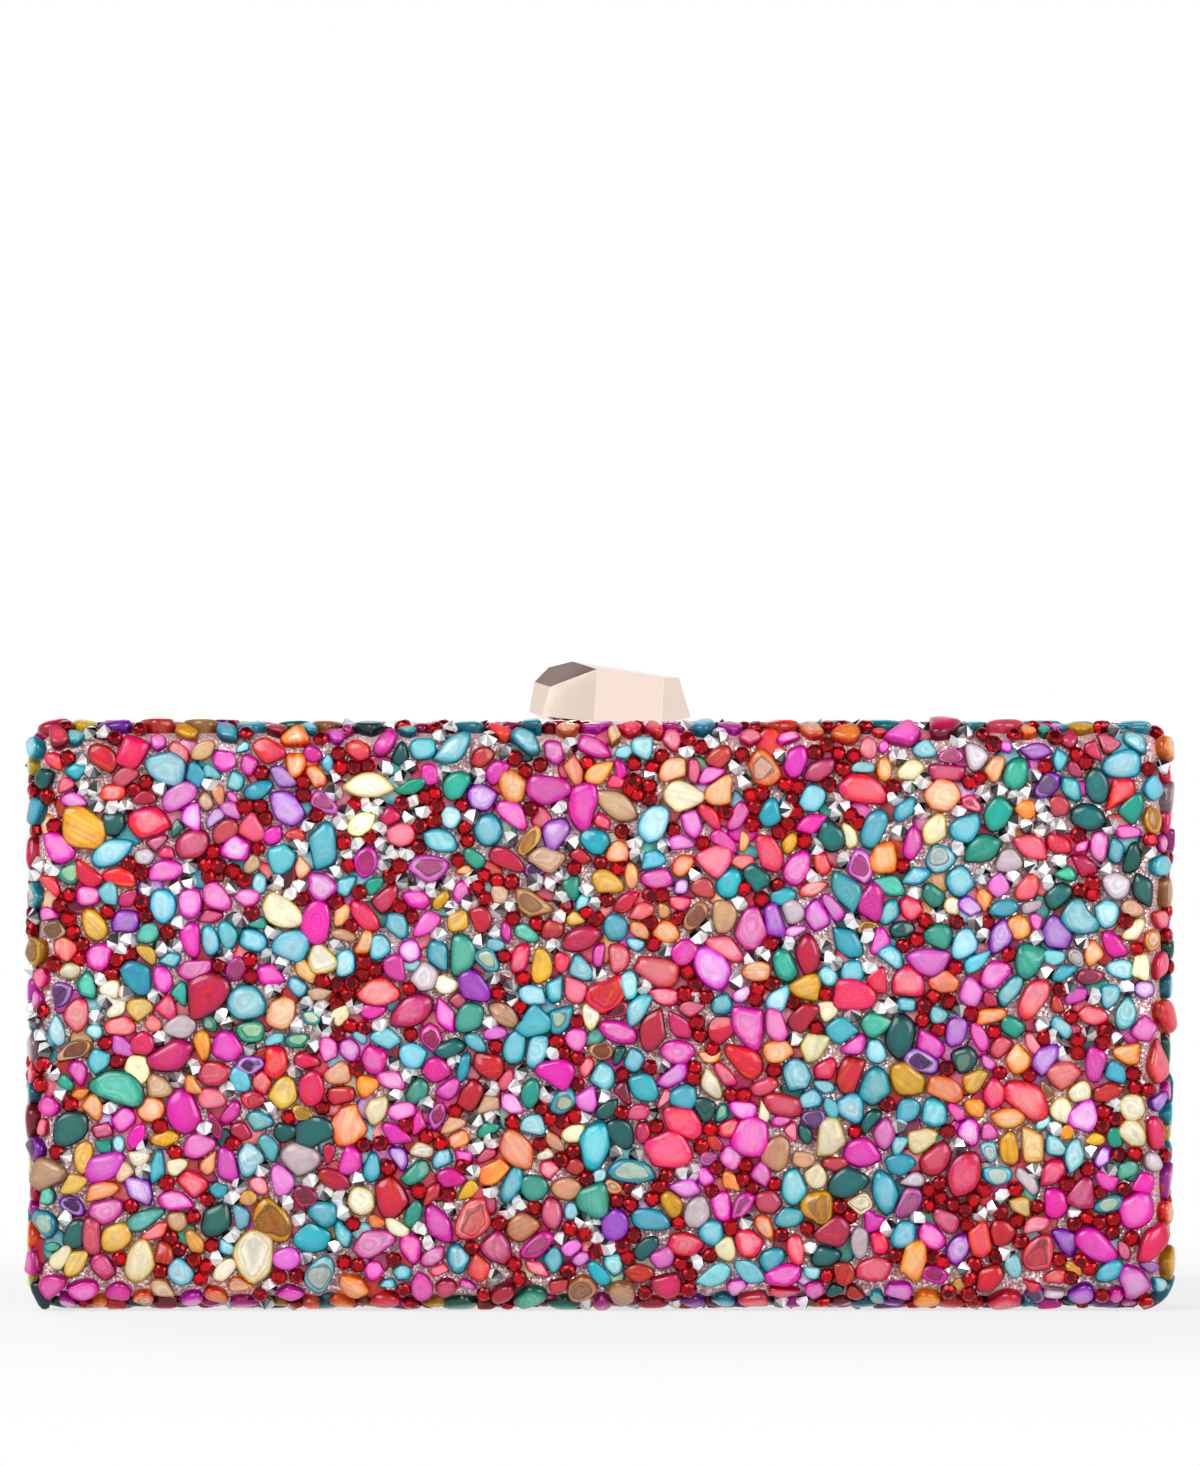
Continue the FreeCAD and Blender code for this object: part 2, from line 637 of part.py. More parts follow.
def back_frame():
    """Back rim with the outer knuckles and the tabs that carry the chain eyes."""
    label = "back_frame"
    body = frame_ring(label, BACK)
    for name, sign in SIDES:
        middle = f"{sign} * hinge_spacing / 2"
        room_half = "hinge_length / 2 - back_knuckle_length"
        room = hinge_sketch(body, f"{label}_{name}_room", f"{middle} - ({room_half})",
                            "knuckle_radius + knuckle_clearance")
        pocket(body, room, f"2 * ({room_half})", along=True)
    for name, sign in SIDES:
        middle = f"{sign} * hinge_spacing / 2"
        for end, shift in (("in", "- hinge_length / 2"),
                           ("out", "+ hinge_length / 2 - back_knuckle_length")):
            barrel = hinge_sketch(body, f"{label}_{name}_{end}_knuckle", f"{middle} {shift}",
                                  "knuckle_radius")
            pad(body, barrel, "back_knuckle_length")
        bore = hinge_sketch(body, f"{label}_{name}_bore", middle, "pin_radius")
        pocket(body, bore, "hinge_length", middle=True)
        chain_tab(body, label, name, sign)
    return body


def chain_tab(body, label, name, sign):
    """Tab inside a side rail with the two rivet holes of a chain eye."""
    face = f"{sign} * (case_width / 2 - {INNER_FLANGE_IN})"
    tab = new_sketch(body, f"{label}_{name}_tab", "YZ_Plane", off=face)
    rectangle(tab, GROOVE_FLOOR, f"{LUG_HEIGHT} - chain_tab_height / 2",
              "chain_tab_reach", f"{LUG_HEIGHT} + chain_tab_height / 2")
    pad(body, tab, "flange_thickness", flip=sign < 0)
    holes = new_sketch(body, f"{label}_{name}_tab_holes", "YZ_Plane", off=face)
    for up in (-1, 1):
        circle(holes, "lug_rivet_offset", f"{LUG_HEIGHT} + {up} * lug_rivet_spacing / 2",
               "lug_rivet_radius")
    pocket(body, holes, "flange_thickness", along=sign > 0)


def hinge_pin(name, sign):
    body = new_body(f"hinge_pin_{name}")
    sketch = hinge_sketch(body, body.Name + "_round", f"{sign} * hinge_spacing / 2", "pin_radius")
    pad(body, sketch, "hinge_length", middle=True)
    return body


def latch_tongue():
    """Spring strip under the tab with two barbs that hook behind the back frame's flange."""
    label = "latch_tongue"
    body = new_body(label)
    strip = new_sketch(body, label + "_strip", "XY_Plane", off=TONGUE_TOP)
    rectangle(strip, "-tongue_width / 2", "tongue_margin - latch_tab_reach",
              "tongue_width / 2", "tongue_reach")
    pad(body, strip, "tongue_thickness", flip=True)
    hook = f"{FLANGE_EDGE} + barb_gap"
    root = f"{TONGUE_TOP} - tongue_thickness / 2"
    crest = f"{TONGUE_TOP} + barb_rise"
    for name, sign in SIDES:
        barb = new_sketch(body, f"{label}_{name}_barb", "YZ_Plane",
                          off=f"{sign} * tongue_width / 2")
        polygon(barb, [(hook, root), (f"{hook} + barb_length", root),
                       (f"{hook} + barb_length", TONGUE_TOP),
                       (f"{hook} + barb_crest", crest), (hook, crest)])
        pad(body, barb, "barb_width", flip=sign > 0)
    holes = new_sketch(body, label + "_holes", "XY_Plane", off="case_height")
    for name, sign in SIDES:
        circle(holes, f"{sign} * latch_rivet_spacing / 2", "-latch_rivet_offset",
               "latch_rivet_radius")
    pocket(body, holes, f"case_height - {TONGUE_TOP} + tongue_thickness")
    return body


def rivet(label, shank, grip, head):
    """Rivet along its own axis: flush end at the origin, head beyond the grip."""
    return turned(label, [("0", "0"), (shank, "0"), (shank, grip), (head, grip),
                          (f"{head} * rivet_crown_radius / rivet_head_radius",
                           f"{grip} + rivet_head_height"),
                          ("0", f"{grip} + rivet_head_height")])


def latch_rivet(name, sign):
    grip = "(flange_thickness + tongue_clearance + tongue_thickness)"
    body = rivet(f"latch_rivet_{name}", "latch_rivet_radius", grip, "rivet_head_radius")
    body.Placement = FreeCAD.Placement(Vector(), FreeCAD.Rotation(Vector(1, 0, 0), 180))
    place(body, f"{sign} * latch_rivet_spacing / 2", "-latch_rivet_offset",
          f"case_height - {INNER_FLANGE_OUT}")
    return body


def lug_rivet(name, sign, level, up):
    grip = "(flange_thickness + lug_base_thickness)"
    body = rivet(f"chain_lug_rivet_{name}_{level}", "lug_rivet_radius", grip, "lug_head_radius")
    body.Placement = FreeCAD.Placement(Vector(), FreeCAD.Rotation(Vector(0, 1, 0), -90 * sign))
    place(body, f"{sign} * (case_width / 2 - {INNER_FLANGE_OUT})", "lug_rivet_offset",
          f"{LUG_HEIGHT} + {up} * lug_rivet_spacing / 2")
    return body


def chain_lug(name, sign):
    """Bracket riveted to a tab of the back frame, with the eye that a chain hook takes."""
    label = f"chain_lug_{name}"
    body = new_body(label)
    seat = f"{sign} * (case_width / 2 - {INNER_FLANGE_IN})"
    base = new_sketch(body, label + "_base", "YZ_Plane", off=seat)
    rectangle(base, "lug_setback", f"{LUG_HEIGHT} - chain_tab_height / 2 + lug_margin",
              "chain_tab_reach - lug_margin", f"{LUG_HEIGHT} + chain_tab_height / 2 - lug_margin")
    pad(body, base, "lug_base_thickness", flip=sign > 0)
    holes = new_sketch(body, label + "_holes", "YZ_Plane", off=seat)
    for up in (-1, 1):
        circle(holes, "lug_rivet_offset", f"{LUG_HEIGHT} + {up} * lug_rivet_spacing / 2",
               "lug_rivet_radius")
    pocket(body, holes, "lug_base_thickness", along=sign < 0)
    inner = f"{seat} - {sign} * lug_base_thickness"
    middle = f"{inner} - {sign} * eye_reach"
    arm = new_sketch(body, label + "_arm", "XZ_Plane", off="-lug_setback")
    rectangle(arm, middle, f"{LUG_HEIGHT} - eye_radius", f"{inner}", f"{LUG_HEIGHT} + eye_radius")
    pad(body, arm, "eye_thickness", flip=True)
    eye = new_sketch(body, label + "_eye", "XZ_Plane", off="-lug_setback")
    circle(eye, middle, LUG_HEIGHT, "eye_radius")
    pad(body, eye, "eye_thickness", flip=True)
    hole = new_sketch(body, label + "_hole", "XZ_Plane", off="-lug_setback")
    circle(hole, middle, LUG_HEIGHT, "eye_hole_radius")
    pocket(body, hole, "eye_thickness")
    return body


def clasp_bush():
    """Flanged guide for the stem, fixed in the top wall of the back half."""
    bore = "stem_radius + stem_clearance"
    body = turned("clasp_bush", [(bore, BUSH_END), ("bush_radius", BUSH_END),
                                 ("bush_radius", COVER_TOP), ("bush_flange_radius", COVER_TOP),
                                 ("bush_flange_radius", BUSH_TOP), (bore, BUSH_TOP)])
    place(body, y="clasp_offset")
    return body


def clasp_stem():
    """Stem that the knob is pressed onto, with the groove of its clip near the lower end."""
    groove = f"({STEM_END} + stem_tip)"
    groove_top = f"({groove} + clip_thickness + 2 * clip_gap)"
    body = turned("clasp_stem", [("0", STEM_END), ("stem_radius", STEM_END),
                                 ("stem_radius", groove), ("groove_radius", groove),
                                 ("groove_radius", groove_top), ("stem_radius", groove_top),
                                 ("stem_radius", RECESS_TOP), ("spigot_radius", RECESS_TOP),
                                 ("spigot_radius", f"{RECESS_TOP} + spigot_length"),
                                 ("0", f"{RECESS_TOP} + spigot_length")])
    place(body, y="clasp_offset")
    return body


def clasp_clip():
    """Open spring clip in the stem's groove that stops the clasp under its bush."""
    label = "clasp_clip"
    body = new_body(label)
    ring = new_sketch(body, label + "_ring", "XY_Plane", off=CLIP_UNDER)
    circle(ring, "0", "0", "clip_radius")
    circle(ring, "0", "0", "groove_radius + clip_gap")
    pad(body, ring, "clip_thickness")
    mouth = new_sketch(body, label + "_mouth", "XY_Plane", off=CLIP_UNDER)
    rectangle(mouth, "-clip_mouth / 2", "0", "clip_mouth / 2", "2 * clip_radius")
    pocket(body, mouth, "clip_thickness", along=True)
    place(body, y="clasp_offset")
    return body


# Flat sides of the spring wire's section.
WIRE_SIDES = 8


def clasp_spring():
    """Return coil between the bush flange and the roof of the knob's recess."""
    label = "clasp_spring"
    body = new_body(label)
    wire = new_sketch(body, label + "_wire", "XZ_Plane")
    section = []
    for n in range(WIRE_SIDES):
        angle = 2 * math.pi * (n + 0.5) / WIRE_SIDES
        section.append((f"spring_radius + {math.cos(angle):.6f} * wire_radius",
                        f"{BUSH_TOP} + wire_radius + {math.sin(angle):.6f} * wire_radius"))
    polygon(wire, section)
    coil = body.newObject("PartDesign::AdditiveHelix", label + "_coil")
    coil.Profile = wire
    coil.ReferenceAxis = (wire, ["V_Axis"])
    coil.Mode = "height-turns-angle"
    coil.setExpression("Height", ref(f"{RECESS_TOP} - {BUSH_TOP} - 2 * wire_radius"))
    coil.setExpression("Turns", ref("spring_turns"))
    doc.recompute()
    place(body, y="clasp_offset")
    return body


# Corners of the knob as shares of its width, depth and height. Where the depth is None the
# corner lies in the plane of the three corners named after it.
KNOB_SHARES = {
    "foot_middle": (0.398, 0.004, 0.02),
    "foot_right": (0.817, 0.0, 0.0),
    "ridge": (0.419, 0.078, 0.851),
    "shoulder": (0.831, None, 0.716, "foot_middle", "foot_right", "ridge"),
    "cheek": (0.13, 0.222, 0.582),
    "foot_left": (0.077, None, 0.12, "foot_middle", "ridge", "cheek"),
    "temple": (0.033, 0.464, 0.678),
    "foot_end": (0.0, None, 0.207, "foot_left", "cheek", "temple"),
    "brow": (0.926, 0.36, 0.736),
    "foot_tip": (1.0, None, 0.13, "foot_right", "shoulder", "brow"),
    "crest": (0.268, None, 1.0, "temple", "cheek", "ridge"),
    "hump": (0.12, None, 0.915, "temple", "cheek", "ridge"),
    "back_right": (0.8, 0.82, 0.68),
    "back_left": (0.27, 0.9, 0.8),
    "heel_right": (0.9, 0.93, 0.06),
    "heel_middle": (0.35, 1.0, 0.05),
    "heel_left": (0.06, 0.83, 0.1),
}


def knob_corners():
    """Knob corners in millimetres."""
    shares = {}
    for name, entry in KNOB_SHARES.items():
        across, deep, up = entry[:3]
        if deep is None:
            a, b, c = (Vector(*shares[other]) for other in entry[3:])
            normal = (b - a).cross(c - a)
            deep = a.y - (normal.x * (across - a.x) + normal.z * (up - a.z)) / normal.y
        shares[name] = (across, deep, up)
    wide, deep, tall = val("knob_width"), val("knob_depth"), val("knob_height")
    left, front, foot = -val("knob_left"), -val("knob_front"), val(KNOB_FOOT)
    return [Vector(left + x * wide, front + y * deep, foot + z * tall)
            for x, y, z in shares.values()]


def convex_solid(points):
    """Solid whose flat facets are the outer planes through the points."""
    near = max((p - points[0]).Length for p in points) * 1e-4
    facets = {}
    count = len(points)
    for i in range(count):
        for j in range(i + 1, count):
            for k in range(j + 1, count):
                normal = (points[j] - points[i]).cross(points[k] - points[i])
                if normal.Length < near:
                    continue
                normal.normalize()
                heights = [(p - points[i]).dot(normal) for p in points]
                if max(heights) > near and min(heights) < -near:
                    continue
                if max(heights) > near:
                    normal = -normal
                on_plane = tuple(n for n, up in enumerate(heights) if abs(up) <= near)
                facets[on_plane] = normal
    outlines = []
    for on_plane, normal in facets.items():
        middle = Vector()
        for n in on_plane:
            middle += points[n] / len(on_plane)
        along = (points[on_plane[0]] - middle).normalize()
        side = normal.cross(along)
        around = sorted(on_plane, key=lambda n: math.atan2((points[n] - middle).dot(side),
                                                           (points[n] - middle).dot(along)))
        outlines.append([points[n] for n in around])
    return solid_of(outlines)


def clasp_knob():
    """Faceted rock with a recess for the spring and a hole for the stem's end."""
    rock = convex_solid(knob_corners())
    foot, roof = val(KNOB_FOOT), val(RECESS_TOP)
    axis = Vector(0, val("clasp_offset"), foot)
    recess = Part.makeCylinder(val("recess_radius"), roof - foot, axis)
    hole = Part.makeCylinder(val("spigot_radius"), roof - foot + val("spigot_length"), axis)
    knob = doc.addObject("Part::Feature", "clasp_knob")
    knob.Label = "clasp_knob"
    knob.Shape = rock.cut(recess).cut(hole)
    return knob


def build_half(prefix, side):
    """Shell, lining, cover and stone crust of one half."""
    shell = layer(prefix + "_shell", side, SHELL_OUT, "shell_thickness")
    lining = layer(prefix + "_lining", side, LINING_OUT, "lining_thickness")
    cover = layer(prefix + "_cover", side, COVER_OUT, "cover_thickness")
    if side == BACK:
        for body in (shell, lining, cover):
            bush_hole(body, body.Name)
    return [shell, lining, cover, stone_bed(prefix + "_stone_bed", side),
            stone_crowns(prefix + "_stone_crowns", side)]


nodes = build_half("back", BACK) + [back_frame()] + build_half("front", FRONT) + [front_frame()]
for name, sign in SIDES:
    nodes.append(hinge_pin(name, sign))
    nodes.append(latch_rivet(name, sign))
    nodes.append(chain_lug(name, sign))
    for level, up in (("lower", -1), ("upper", 1)):
        nodes.append(lug_rivet(name, sign, level, up))
nodes += [latch_tongue(), clasp_bush(), clasp_stem(), clasp_clip(), clasp_spring(), clasp_knob()]
doc.recompute()

for item in doc.Objects:
    if "Invalid" in item.State or "Error" in item.State:
        raise RuntimeError(f"{item.Name} did not compute: {item.State}")
for node in nodes:
    if node.Shape.isNull() or not node.Shape.isValid():
        raise RuntimeError(f"{node.Label} has no valid shape")
    if len(node.Shape.Solids) != 1 and not node.Label.endswith("crowns"):
        raise RuntimeError(f"{node.Label} is {len(node.Shape.Solids)} solids")

os.makedirs("parts", exist_ok=True)
for node in nodes:
    node.Shape.exportStep(os.path.join("parts", node.Label + ".step"))
    print(f"{node.Label}: {node.Shape.Volume:.1f} cubic mm")
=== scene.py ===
import math

import bpy
import numpy as np
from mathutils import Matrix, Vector


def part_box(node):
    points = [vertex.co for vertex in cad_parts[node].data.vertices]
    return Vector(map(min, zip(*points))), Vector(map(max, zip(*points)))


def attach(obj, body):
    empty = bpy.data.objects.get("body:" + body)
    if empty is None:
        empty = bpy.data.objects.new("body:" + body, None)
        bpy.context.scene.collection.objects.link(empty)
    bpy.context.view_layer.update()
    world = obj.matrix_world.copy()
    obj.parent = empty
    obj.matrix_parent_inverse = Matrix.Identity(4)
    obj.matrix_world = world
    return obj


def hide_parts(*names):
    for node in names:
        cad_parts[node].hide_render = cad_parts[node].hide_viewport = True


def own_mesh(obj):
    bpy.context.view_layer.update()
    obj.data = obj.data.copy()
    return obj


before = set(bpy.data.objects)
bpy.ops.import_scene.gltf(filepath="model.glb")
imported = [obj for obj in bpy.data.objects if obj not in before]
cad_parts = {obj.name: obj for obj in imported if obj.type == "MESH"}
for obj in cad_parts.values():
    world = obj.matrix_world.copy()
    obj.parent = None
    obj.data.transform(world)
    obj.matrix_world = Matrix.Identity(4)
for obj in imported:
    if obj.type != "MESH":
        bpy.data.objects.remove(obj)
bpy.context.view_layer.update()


# Moulded shells
# The two trays that give the case its strength, injection-moulded in dark plastic. The frames
# grip their edges, and they stay hidden between the mesh cover outside and the satin inside.

def new_material(name, **values):
    """Material with one Principled shader; plain values go on the shader's own sockets."""
    made = bpy.data.materials.new(name)
    made.use_nodes = True
    shader = made.node_tree.nodes["Principled BSDF"]
    for socket, value in values.items():
        shader.inputs[socket.replace("_", " ")].default_value = value
    return made, made.node_tree, shader


def set_sockets(tree, node, sockets):
    """Gives a node's sockets plain values or the outputs of other nodes."""
    for socket, value in dict(sockets).items():
        if isinstance(value, bpy.types.NodeSocket):
            tree.links.new(value, node.inputs[socket])
        else:
            node.inputs[socket].default_value = value


def add_node(tree, kind, sockets=(), **settings):
    """Shader node with its settings made and its sockets filled."""
    made = tree.nodes.new("ShaderNode" + kind)
    for key, value in settings.items():
        setattr(made, key, value)
    set_sockets(tree, made, sockets)
    return made


def calc(tree, operation, *values):
    """Result of a Math node on outputs and plain numbers."""
    return add_node(tree, "Math", enumerate(values), operation=operation).outputs[0]


def ramp(tree, value, low=0.0, high=1.0, to_low=0.0, to_high=1.0, kind="LINEAR"):
    """Output carried from one range to another."""
    sockets = {"Value": value, "From Min": low, "From Max": high, "To Min": to_low,
               "To Max": to_high}
    return add_node(tree, "MapRange", sockets, interpolation_type=kind).outputs[0]


def mix(tree, share, first, second, kind="MIX"):
    """Mixture of two colours."""
    sockets = {"Factor": share, "A": first, "B": second}
    return add_node(tree, "Mix", sockets, data_type="RGBA", blend_type=kind).outputs["Result"]


def noise(tree, vector, **sockets):
    """Value of a noise texture."""
    return add_node(tree, "TexNoise", {"Vector": vector, **sockets}).outputs["Fac"]


def bump(tree, height, strength, distance):
    """Normal of a surface with raised marks, their height in metres."""
    sockets = {"Height": height, "Strength": strength, "Distance": distance}
    return add_node(tree, "Bump", sockets).outputs["Normal"]


def new_group(name, inputs, outputs):
    """Shader node group with named sockets: the group, what it is given, and its end node."""
    group = bpy.data.node_groups.new(name, "ShaderNodeTree")
    for label, kind, value in inputs:
        group.interface.new_socket(label, in_out="INPUT", socket_type=kind).default_value = value
    for label, kind in outputs:
        group.interface.new_socket(label, in_out="OUTPUT", socket_type=kind)
    return group, group.nodes.new("NodeGroupInput").outputs, group.nodes.new("NodeGroupOutput")


def place_group(tree, group, sockets):
    """Outputs of a node group placed in a material with its own values."""
    return add_node(tree, "Group", sockets, node_tree=group).outputs


def dress(names, material):
    """Gives CAD nodes a material."""
    for name in names:
        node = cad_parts[name]
        node.data.materials.clear()
        node.data.materials.append(material)


# Handling marks: a slow change of gloss with fine rubbed specks, shared by plastic and metal.
handled, given, marks_out = new_group(
    "handling marks",
    [("Size", "NodeSocketFloat", 300.0), ("Low", "NodeSocketFloat", 0.1),
     ("High", "NodeSocketFloat", 0.2)],
    [("Roughness", "NodeSocketFloat"), ("Height", "NodeSocketFloat")])
spot = add_node(handled, "TexCoord").outputs["Object"]
broad = noise(handled, spot, Scale=given["Size"], Detail=5.0, Roughness=0.62)
specks = noise(handled, spot, Scale=5200.0, Detail=2.0)
rubbed = calc(handled, "MULTIPLY_ADD", specks, 0.3, broad)
set_sockets(handled, marks_out, {
    "Roughness": ramp(handled, rubbed, 0.35, 0.95, given["Low"], given["High"]),
    "Height": specks})


def handled_material(name, size, low, high, raised=None, **values):
    """Material with handling marks in its gloss, raised by a strength and height if given."""
    made, tree, shader = new_material(name, **values)
    marks = place_group(tree, handled, {"Size": size, "Low": low, "High": high})
    set_sockets(tree, shader, {"Roughness": marks["Roughness"]})
    if raised:
        set_sockets(tree, shader, {"Normal": bump(tree, marks["Height"], *raised)})
    return made


moulded = handled_material("moulded dark plastic", 260.0, 0.42, 0.62, raised=(0.25, 0.00008),
                           Base_Color=(0.028, 0.021, 0.021, 1))
dress(["back_shell", "front_shell"], moulded)


# Glitter mesh covers
# Fine dusty-rose net with foil glitter, stretched over each shell and glued down. It is the
# ground that shows between the stones, so its sparkle is built at the size of single flakes.

mesh_cover, tree, shader = new_material("glitter mesh", Specular_IOR_Level=0.6)
spot = add_node(tree, "TexCoord").outputs["Object"]
flakes = add_node(tree, "TexVoronoi", {"Vector": spot, "Scale": 3100.0, "Randomness": 0.85})
flakes = flakes.outputs["Color"]
threads = add_node(tree, "TexVoronoi", {"Vector": spot, "Scale": 1500.0, "Randomness": 0.35},
                   feature="DISTANCE_TO_EDGE").outputs["Distance"]
bright = ramp(tree, add_node(tree, "SeparateColor", {"Color": flakes}).outputs["Red"], 0.5, 0.72)
ground = mix(tree, ramp(tree, threads, 0.05, 0.3), (0.45, 0.2, 0.207, 1), (0.78, 0.46, 0.467, 1))
lean = add_node(tree, "VectorMath", {0: flakes, 1: (0.5, 0.5, 0.5)}, operation="SUBTRACT")
swing = add_node(tree, "VectorMath", {0: lean.outputs[0], "Scale": 0.6}, operation="SCALE")
normal = add_node(tree, "NewGeometry").outputs["Normal"]
tipped = add_node(tree, "VectorMath", {0: normal, 1: swing.outputs[0]}, operation="ADD")
unit = add_node(tree, "VectorMath", {0: tipped.outputs[0]}, operation="NORMALIZE")
set_sockets(tree, shader, {
    "Base Color": mix(tree, bright, ground, (0.95, 0.8, 0.79, 1)),
    "Metallic": calc(tree, "MULTIPLY", bright, 0.5),
    "Roughness": ramp(tree, bright, to_low=0.55, to_high=0.22),
    "Normal": unit.outputs[0]})
dress(["back_cover", "front_cover"], mesh_cover)


# Satin linings
# Dusty-rose satin wrapped on card trays and pushed into the shells. The weave floats along
# the length of the case, so the sheen is drawn out that way.

satin, tree, shader = new_material("rose satin", Sheen_Weight=0.35, Sheen_Roughness=0.4,
                                   Sheen_Tint=(1.0, 0.86, 0.86, 1))
spot = add_node(tree, "TexCoord").outputs["Object"]
drawn = add_node(tree, "Mapping", {"Vector": spot, "Scale": (180.0, 3800.0, 3800.0)})
floats = noise(tree, drawn.outputs["Vector"], Scale=1.0, Detail=3.0, Roughness=0.6)
pull = noise(tree, spot, Scale=45.0, Detail=3.0)
set_sockets(tree, shader, {
    "Base Color": mix(tree, floats, (0.27, 0.105, 0.115, 1), (0.44, 0.2, 0.21, 1)),
    "Roughness": ramp(tree, pull, to_low=0.3, to_high=0.5),
    "Normal": bump(tree, floats, 0.3, 0.0001)})
dress(["back_lining", "front_lining"], satin)


# Frames
# Two cast rims of plated alloy that meet at the parting line. Each takes the edges of shell,
# cover and lining in its groove, and carries its share of the hinge knuckles.

def round_edges(piece, width):
    """Rounds the sharp edges of a piece, as tumbling does before plating."""
    weld = piece.modifiers.new("joined", "WELD")
    weld.merge_threshold = 1e-6
    bevel = piece.modifiers.new("soft edges", "BEVEL")
    bevel.width = width
    bevel.segments = 2
    bevel.limit_method = "ANGLE"
    bevel.angle_limit = math.radians(25)
    bevel.harden_normals = True


def soften(names, width):
    """Rounds the sharp edges of CAD nodes."""
    for name in names:
        round_edges(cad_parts[name], width)


rose_gold = handled_material("rose gold plate", 220.0, 0.12, 0.24, raised=(0.05, 0.00003),
                             Metallic=1.0, Base_Color=(0.86, 0.62, 0.51, 1))
dress(["back_frame", "front_frame"], rose_gold)
soften(["back_frame", "front_frame"], width=0.00018)


# Hinge pins
# Short lengths of drawn steel wire, pressed into the knuckles of the back frame. The front
# frame's knuckles turn on them, so the case opens along its base.

steel = handled_material("turned steel", 900.0, 0.2, 0.36, Metallic=1.0,
                         Base_Color=(0.42, 0.41, 0.4, 1))
dress(["hinge_pin_left", "hinge_pin_right"], steel)


# Chain eyes
# Two stamped and plated brackets inside the back half, for a chain that drops into the case.
# Each is held to its tab of the frame by two rivets.

lugs = ["chain_lug_left", "chain_lug_right"]
lug_rivets = [f"chain_lug_rivet_{side}_{level}" for side in ("left", "right")
              for level in ("lower", "upper")]
dress(lugs + lug_rivets, rose_gold)
soften(lugs, width=0.00015)
soften(lug_rivets, width=0.0001)


# Latch
# Spring-steel tongue riveted to the front frame's tab. Its two barbs hook behind the rail of
# the back frame, until the pressed stem tilts it down from its riveted end.

spring_steel = handled_material("spring steel", 700.0, 0.22, 0.34, Metallic=1.0,
                                Base_Color=(0.5, 0.47, 0.43, 1))
dress(["latch_tongue"], spring_steel)
tongue = bpy.data.objects.new("latch_strip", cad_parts["latch_tongue"].data.copy())
bpy.context.scene.collection.objects.link(tongue)
round_edges(tongue, width=0.0001)
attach(tongue, "front_half")
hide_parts("latch_tongue")
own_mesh(tongue)
dress(["latch_rivet_left", "latch_rivet_right"], rose_gold)
soften(["latch_rivet_left", "latch_rivet_right"], width=0.00012)


# Push clasp
# The knob is one polished casting cut like a rough stone. It is pressed onto a steel stem that
# slides in a flanged bush; a clip holds the stem in, and a coil spring lifts the knob again.

dress(["clasp_stem"], steel)
dress(["clasp_clip"], spring_steel)
dress(["clasp_bush"], rose_gold)
soften(["clasp_bush", "clasp_stem"], width=0.00012)

polished = handled_material("polished rose gold", 120.0, 0.05, 0.11, Metallic=1.0,
                            Base_Color=(0.82, 0.67, 0.58, 1))
tree = polished.node_tree
swell = noise(tree, add_node(tree, "TexCoord").outputs["Object"], Scale=75.0, Detail=0.0)
set_sockets(tree, tree.nodes["Principled BSDF"], {"Normal": bump(tree, swell, 1.0, 0.0004)})
dress(["clasp_knob"], polished)
soften(["clasp_knob"], width=0.0005)

# In the real clasp the return spring shortens by the stroke and its foot stays on the bush. Here
# one coil of wire fills the CAD spring's box and moves with the clasp.
coil_low, coil_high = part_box("clasp_spring")
WIRE_RADIUS = 0.00028
COIL_TURNS = 4.5
COIL_STEPS = 180
WIRE_SIDES = 12
coil_radius = (coil_high.x - coil_low.x) / 2 - WIRE_RADIUS
coil_rise = coil_high.z - coil_low.z - 2 * WIRE_RADIUS
coil_middle = (coil_low.y + coil_high.y) / 2
coil_points, coil_faces = [], []
for step in range(COIL_STEPS + 1):
    turn = 2 * math.pi * COIL_TURNS * step / COIL_STEPS
    height = coil_low.z + WIRE_RADIUS + coil_rise * step / COIL_STEPS
    for side in range(WIRE_SIDES):
        angle = 2 * math.pi * side / WIRE_SIDES
        reach = coil_radius + WIRE_RADIUS * math.cos(angle)
        coil_points.append((reach * math.cos(turn), coil_middle + reach * math.sin(turn),
                            height + WIRE_RADIUS * math.sin(angle)))
        if step < COIL_STEPS:
            a = step * WIRE_SIDES + side
            b = step * WIRE_SIDES + (side + 1) % WIRE_SIDES
            coil_faces.append((a, a + WIRE_SIDES, b + WIRE_SIDES, b))
coil_faces.append(tuple(range(WIRE_SIDES)))
coil_faces.append(tuple(COIL_STEPS * WIRE_SIDES + side for side in reversed(range(WIRE_SIDES))))
coil_mesh = bpy.data.meshes.new("return_coil")
coil_mesh.from_pydata(coil_points, [], coil_faces)
coil_mesh.shade_smooth()
coil_mesh.materials.append(spring_steel)
coil = bpy.data.objects.new("return_coil", coil_mesh)
bpy.context.scene.collection.objects.link(coil)
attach(coil, "clasp")
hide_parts("clasp_spring")
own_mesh(coil)


# Stone layout
# The setter spreads glue over the mesh, drops in clusters of small crystals and a first cover
# of shell chips, then nudges them all until each has its own room.

MM = 0.001
cover_low, cover_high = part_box("front_cover")
crust_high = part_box("front_stone_bed")[1]
HALF_WIDE = cover_high.x / MM
HALF_TALL = (cover_high.z - cover_low.z) / 2 / MM
MIDDLE = (cover_high.z + cover_low.z) / 2 / MM
FACE_DEPTH = -cover_low.y / MM
RIM_DEPTH = -crust_high.y / MM
ROUNDING = 3.3
RIM_MARGIN = 0.7
SKIN = 0.05
TINY = 1e-9

# Bare strip round the knob on the top wall: left, right, and the depth it reaches to.
BARE = {"front": (-13.35, 16.95, 6.1), "back": (-13.35, 16.95, 11.7)}
RIM_HOLD = 0.8
BARE_HOLD = 0.9

